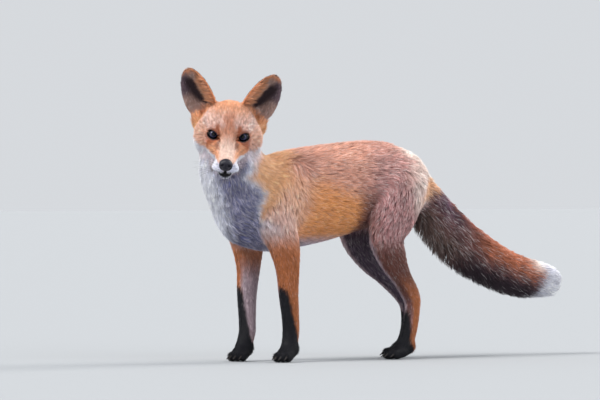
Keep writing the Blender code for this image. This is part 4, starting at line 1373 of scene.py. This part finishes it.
def locks(name, pick, gap, stops=(0.40,), pointed=True, clump=6.0, hug=1.0, gather=0.30,
          wide=1.0, stray=0.12, crimp=0.0, slot="red_coat"):
    """A coat piece: one closed spike for each root on the picked triangles.  Stops are the
    shares of the length at which it has rings; a short lock is a plain spike on a ring.
    Clump is the size in mm of a tuft, and gather how far its tips draw together."""
    tri, weights = roots_on(pick, gap)
    count = len(tri)
    base = blended(skin_points, tri, weights)
    up = unit(blended(skin_normals, tri, weights))
    way = unit(blended(hair_way, tri, weights))
    depth = blended(coat_depth, tri, weights)
    length = blended(hair_length, tri, weights) * (0.80 + 0.40 * rng.random(count))
    # neighbours that lean together: cells of a warped grid
    warped = base + 0.35 * clump * np.sin(base[:, [1, 2, 0]] / (0.9 * clump) + (0.3, 1.7, 2.9))
    cell = np.unique(np.floor(warped / clump).astype(int), axis=0, return_inverse=True)[1].ravel()
    cells = cell.max() + 1
    lean = rng.normal(0, 0.14, cells)[cell] + rng.normal(0, stray, count)      # in radians
    way = unit(way + np.cross(up, way) * lean[:, None])
    stand = (0.80 + 0.12 * rng.random(cells)[cell]) * (0.86 + 0.14 * rng.random(count))
    top = np.minimum(depth * stand, 0.85 * length)
    rings = [0.0] * (not pointed) + list(stops)
    path, normal = combed(base, up, way, depth, length, top, stops, hug, cell, gather, crimp)
    root = base - up * np.minimum(0.8, 0.35 * depth)[:, None]
    path = np.concatenate([root[:, None], path], 1)
    # the section: two low edges and a ridge, turned a little about the lock's length
    half = 0.5 * wide * (0.26 + 0.17 * np.sqrt(length)) * (0.75 + 0.5 * rng.random(count))
    ahead = unit(path[:, 1] - path[:, 0])
    flat = unit(np.cross(ahead, up) + up * rng.normal(0, 0.4, count)[:, None])
    ridge = unit(np.cross(flat, ahead))
    ridge *= np.sign((ridge * up).sum(1, keepdims=True))
    corner = [(0.0, 0.0, 0.4)] if pointed else []
    points = [path[:, 0]] if pointed else []
    for s in rings:
        centre = path[:, 0] if s == 0 else path[:, 1 + stops.index(s)]
        w = (half * (1 - 0.55 * max(s - 0.4, 0) / 0.6))[:, None]
        for across, above in ((-1, 0.0), (0, 0.6), (1, 0.0)):
            points.append(centre + flat * across * w + ridge * above * w)
            corner.append((s, across, above))
    points.append(path[:, -1])
    corner.append((1.0, 0.0, 0.4))
    points, corner = np.stack(points, 1), np.array(corner)
    body = ring_faces(3, len(rings), pointed)
    turned = (np.cross(flat, ridge) * ahead).sum(1) < 0
    spots = np.where(turned[:, None, None], body[None], body[None, :, ::-1])
    faces = (spots + np.arange(count)[:, None, None] * len(corner)).reshape(-1, 3)
    # shading normals lean towards the body's own, so that the coat looks soft
    radial = flat[:, None] * corner[None, :, 1:2] + ridge[:, None] * (corner[None, :, 2:] + 0.15)
    soft = unit(0.60 * up[:, None] + 0.25 * normal[:, None] + 0.42 * unit(radial))
    place = unwrapped(tri, weights)
    width_way = np.where(corner[:, 0] == 1, 0, corner[:, 1])
    inside = np.stack([width_way, corner[:, 0] - 0.5], -1) * PATCH * (0.35, 1.0)
    uv = place[:, None, None] + inside[spots]
    colour = lock_colours(tri, weights, cell, corner[:, 0])
    coat = mesh_piece(name, points.reshape(-1, 3), faces, hair, slot, colour=colour,
                      normals=soft.reshape(-1, 3), uv=uv.reshape(-1, 2))
    print(f"{name}: {count} locks, {len(faces)} triangles, "
          f"length {np.percentile(length, 5):.0f} to {np.percentile(length, 95):.0f} mm")
    return coat


# %% Colour of each lock
PALE_HAIR = srgb(240, 232, 230)


def lock_colours(tri, weights, cell, share):
    """Root colour to tip colour along each lock, times a tone of its own and its cell's;
    some locks are guard hairs with a pale tip and some are darker."""
    count = len(tri)
    root, tip, pale = (blended(v, tri, weights) for v in (colours.root, colours.tip, colours.pale))
    guard = (rng.random(count) < pale)[:, None]
    paler = rng.uniform(0.15, 0.45, (count, 1)) + 0.4 * pale[:, None]
    tip = np.where(guard, tip + (PALE_HAIR - tip) * paler, tip)
    dark = (rng.random(count) < 0.06 + 0.5 * pale)[:, None] & ~guard
    tip = np.where(dark, tip * 0.70, tip)
    tone = np.exp(rng.normal(0, 1, cell.max() + 1)[cell] * (0.06 + 0.45 * pale)
                  + rng.normal(0, 0.10, count))
    share = np.clip(share * 1.2, 0, 1)[None, :, None]
    colour = root[:, None] * (1 - share) * 0.8 + tip[:, None] * share
    return np.clip(colour * tone[:, None, None], 0, 1).reshape(-1, 3)


# %% Coat pieces
mid = corners.mean(1)
kinds = form_names[form_share[:, triangles[:, 0]].argmax(0)]
is_head, is_ear, is_paw = kinds == "head", kinds == "ear", kinds == "paw"
is_tail, is_neck = kinds == "tail", np.isin(kinds, ("neck", "nape"))
is_fore, is_hind = np.isin(kinds, ("fore", "shoulder")), kinds == "hind"
is_trunk = kinds == "trunk"
is_left = mid[:, 0] > 0
lower = mid[:, 2] < 190
off_floor = mid[:, 2] > 1.2
half_q = to_left(in_head(mid))
x, y, z = half_q.T
is_face = is_head & (y > -34)
out, rise, ahead = lid_place(half_q)
lid_edge = 8.6 * (1 - (out / 15.0)**2).clip(0, 1) + 0.8
lids = (ahead > 2) & (np.abs(out) < 14.8) & (np.abs(rise) < lid_edge)
lips = (np.abs(z - lip_height(half_q)) < 2.4) & (y > 24)
muzzle_tip = (x < 3.5) & (y > 54) & (np.abs(z + 44) < 3.5)
bald = lids | lips | muzzle_tip | (ball_field(half_q, NOSE_AT, (12.0, 9, 11)) < 1.0)
short = dict(stops=(), pointed=False)
stocking = dict(clump=4.0, wide=0.9, slot="stocking_coat")

coats = [
    locks("coat_face", is_face & ~bald, 0.66, clump=3.6, stray=0.07, hug=0.5, **short),
    locks("coat_head", is_head & ~is_face, 1.12, clump=5.0),
    locks("coat_ears", is_ear, 1.0, clump=3.5, hug=0, slot="ear_coat", **short),
    locks("coat_neck", is_neck, 1.16, clump=5.0, gather=0.50, crimp=0.3, stray=0.2,
          slot="bib_coat"),
    locks("coat_flank_left", is_trunk & is_left, 1.40),
    locks("coat_flank_right", is_trunk & ~is_left, 1.62),
    locks("coat_shoulders", is_fore & ~lower, 1.36, gather=0.4),
    locks("coat_thighs", is_hind & ~lower, 1.40, gather=0.4),
    locks("coat_fore_legs", is_fore & lower & off_floor, 1.32, **stocking),
    locks("coat_hind_legs", is_hind & lower & off_floor, 1.32, **stocking),
    locks("coat_feet", is_paw & off_floor, 1.2, clump=3.0, hug=0, slot="stocking_coat", **short),
    locks("coat_brush", is_tail, 1.95, (0.30, 0.68), clump=7.0, gather=0.45, crimp=0.25,
          stray=0.2, slot="tail_coat"),
]
print("coat:", sum(len(c.data.polygons) for c in coats), "triangles in all")

# %% [markdown]
# ## Stage, light and camera
# The floor is wide, pale and plain.  The light comes from three soft suns: the key from
# high on the animal's right, a fill from its left and one from behind that draws a bright
# edge.  Suns light a wide floor evenly, where a lamp would leave a bright patch.  The pale
# surround does the rest.

# %% Stage
scene = bpy.context.scene
floor_mesh = bpy.data.meshes.new("floor")
floor_mesh.from_pydata([(-40, -40, 0), (40, -40, 0), (40, 40, 0), (-40, 40, 0)], [], [(0, 1, 2, 3)])
floor = bpy.data.objects.new("floor", floor_mesh)
scene.collection.objects.link(floor)
pale_floor = bpy.data.materials.new("pale_floor")
pale_floor.use_nodes = True
plug(pale_floor.node_tree, pale_floor.node_tree.nodes["Principled BSDF"],
     {"Base Color": (0.369, 0.386, 0.406, 1), "Roughness": 0.9})
floor_mesh.materials.append(pale_floor)

world = bpy.data.worlds.new("surround")
world.use_nodes = True
plug(world.node_tree, world.node_tree.nodes["Background"],
     {"Color": (0.90, 0.93, 0.97, 1), "Strength": 0.75})
scene.world = world


def placed(name, data, place, aim):
    """An object at a place, looking at the aim."""
    ob = bpy.data.objects.new(name, data)
    scene.collection.objects.link(ob)
    ob.location = place
    ob.rotation_euler = (Vector(aim) - Vector(place)).to_track_quat("-Z", "Y").to_euler()
    return ob


def soft_sun(name, place, spread, strength, colour):
    """An even light from the direction of a place; spread is the width of its disc in degrees."""
    light = bpy.data.lights.new(name, "SUN")
    light.angle = math.radians(spread)
    light.energy = strength
    light.color = colour
    placed(name, light, place, (0, 0, 0.26))


soft_sun("key", (0.2, -2.6, 2.9), 24, 2.7, (1.0, 0.98, 0.95))
soft_sun("fill", (2.8, 0.6, 1.6), 45, 0.8, (0.95, 0.97, 1.0))
soft_sun("back", (0.2, 2.9, 2.2), 30, 1.9, (1.0, 0.97, 0.92))

# %% Camera
CAMERA_AT = (7.1664, -5.5071, 0.3141)    # m, off the animal's left shoulder
CAMERA_AIM = (-0.0621, -0.1376, 0.2830)
camera_data = bpy.data.cameras.new("camera")
camera_data.lens = 305.0
camera_data.clip_end = 200.0
scene.camera = placed("camera", camera_data, CAMERA_AT, CAMERA_AIM)
scene.view_settings.view_transform = "Standard"
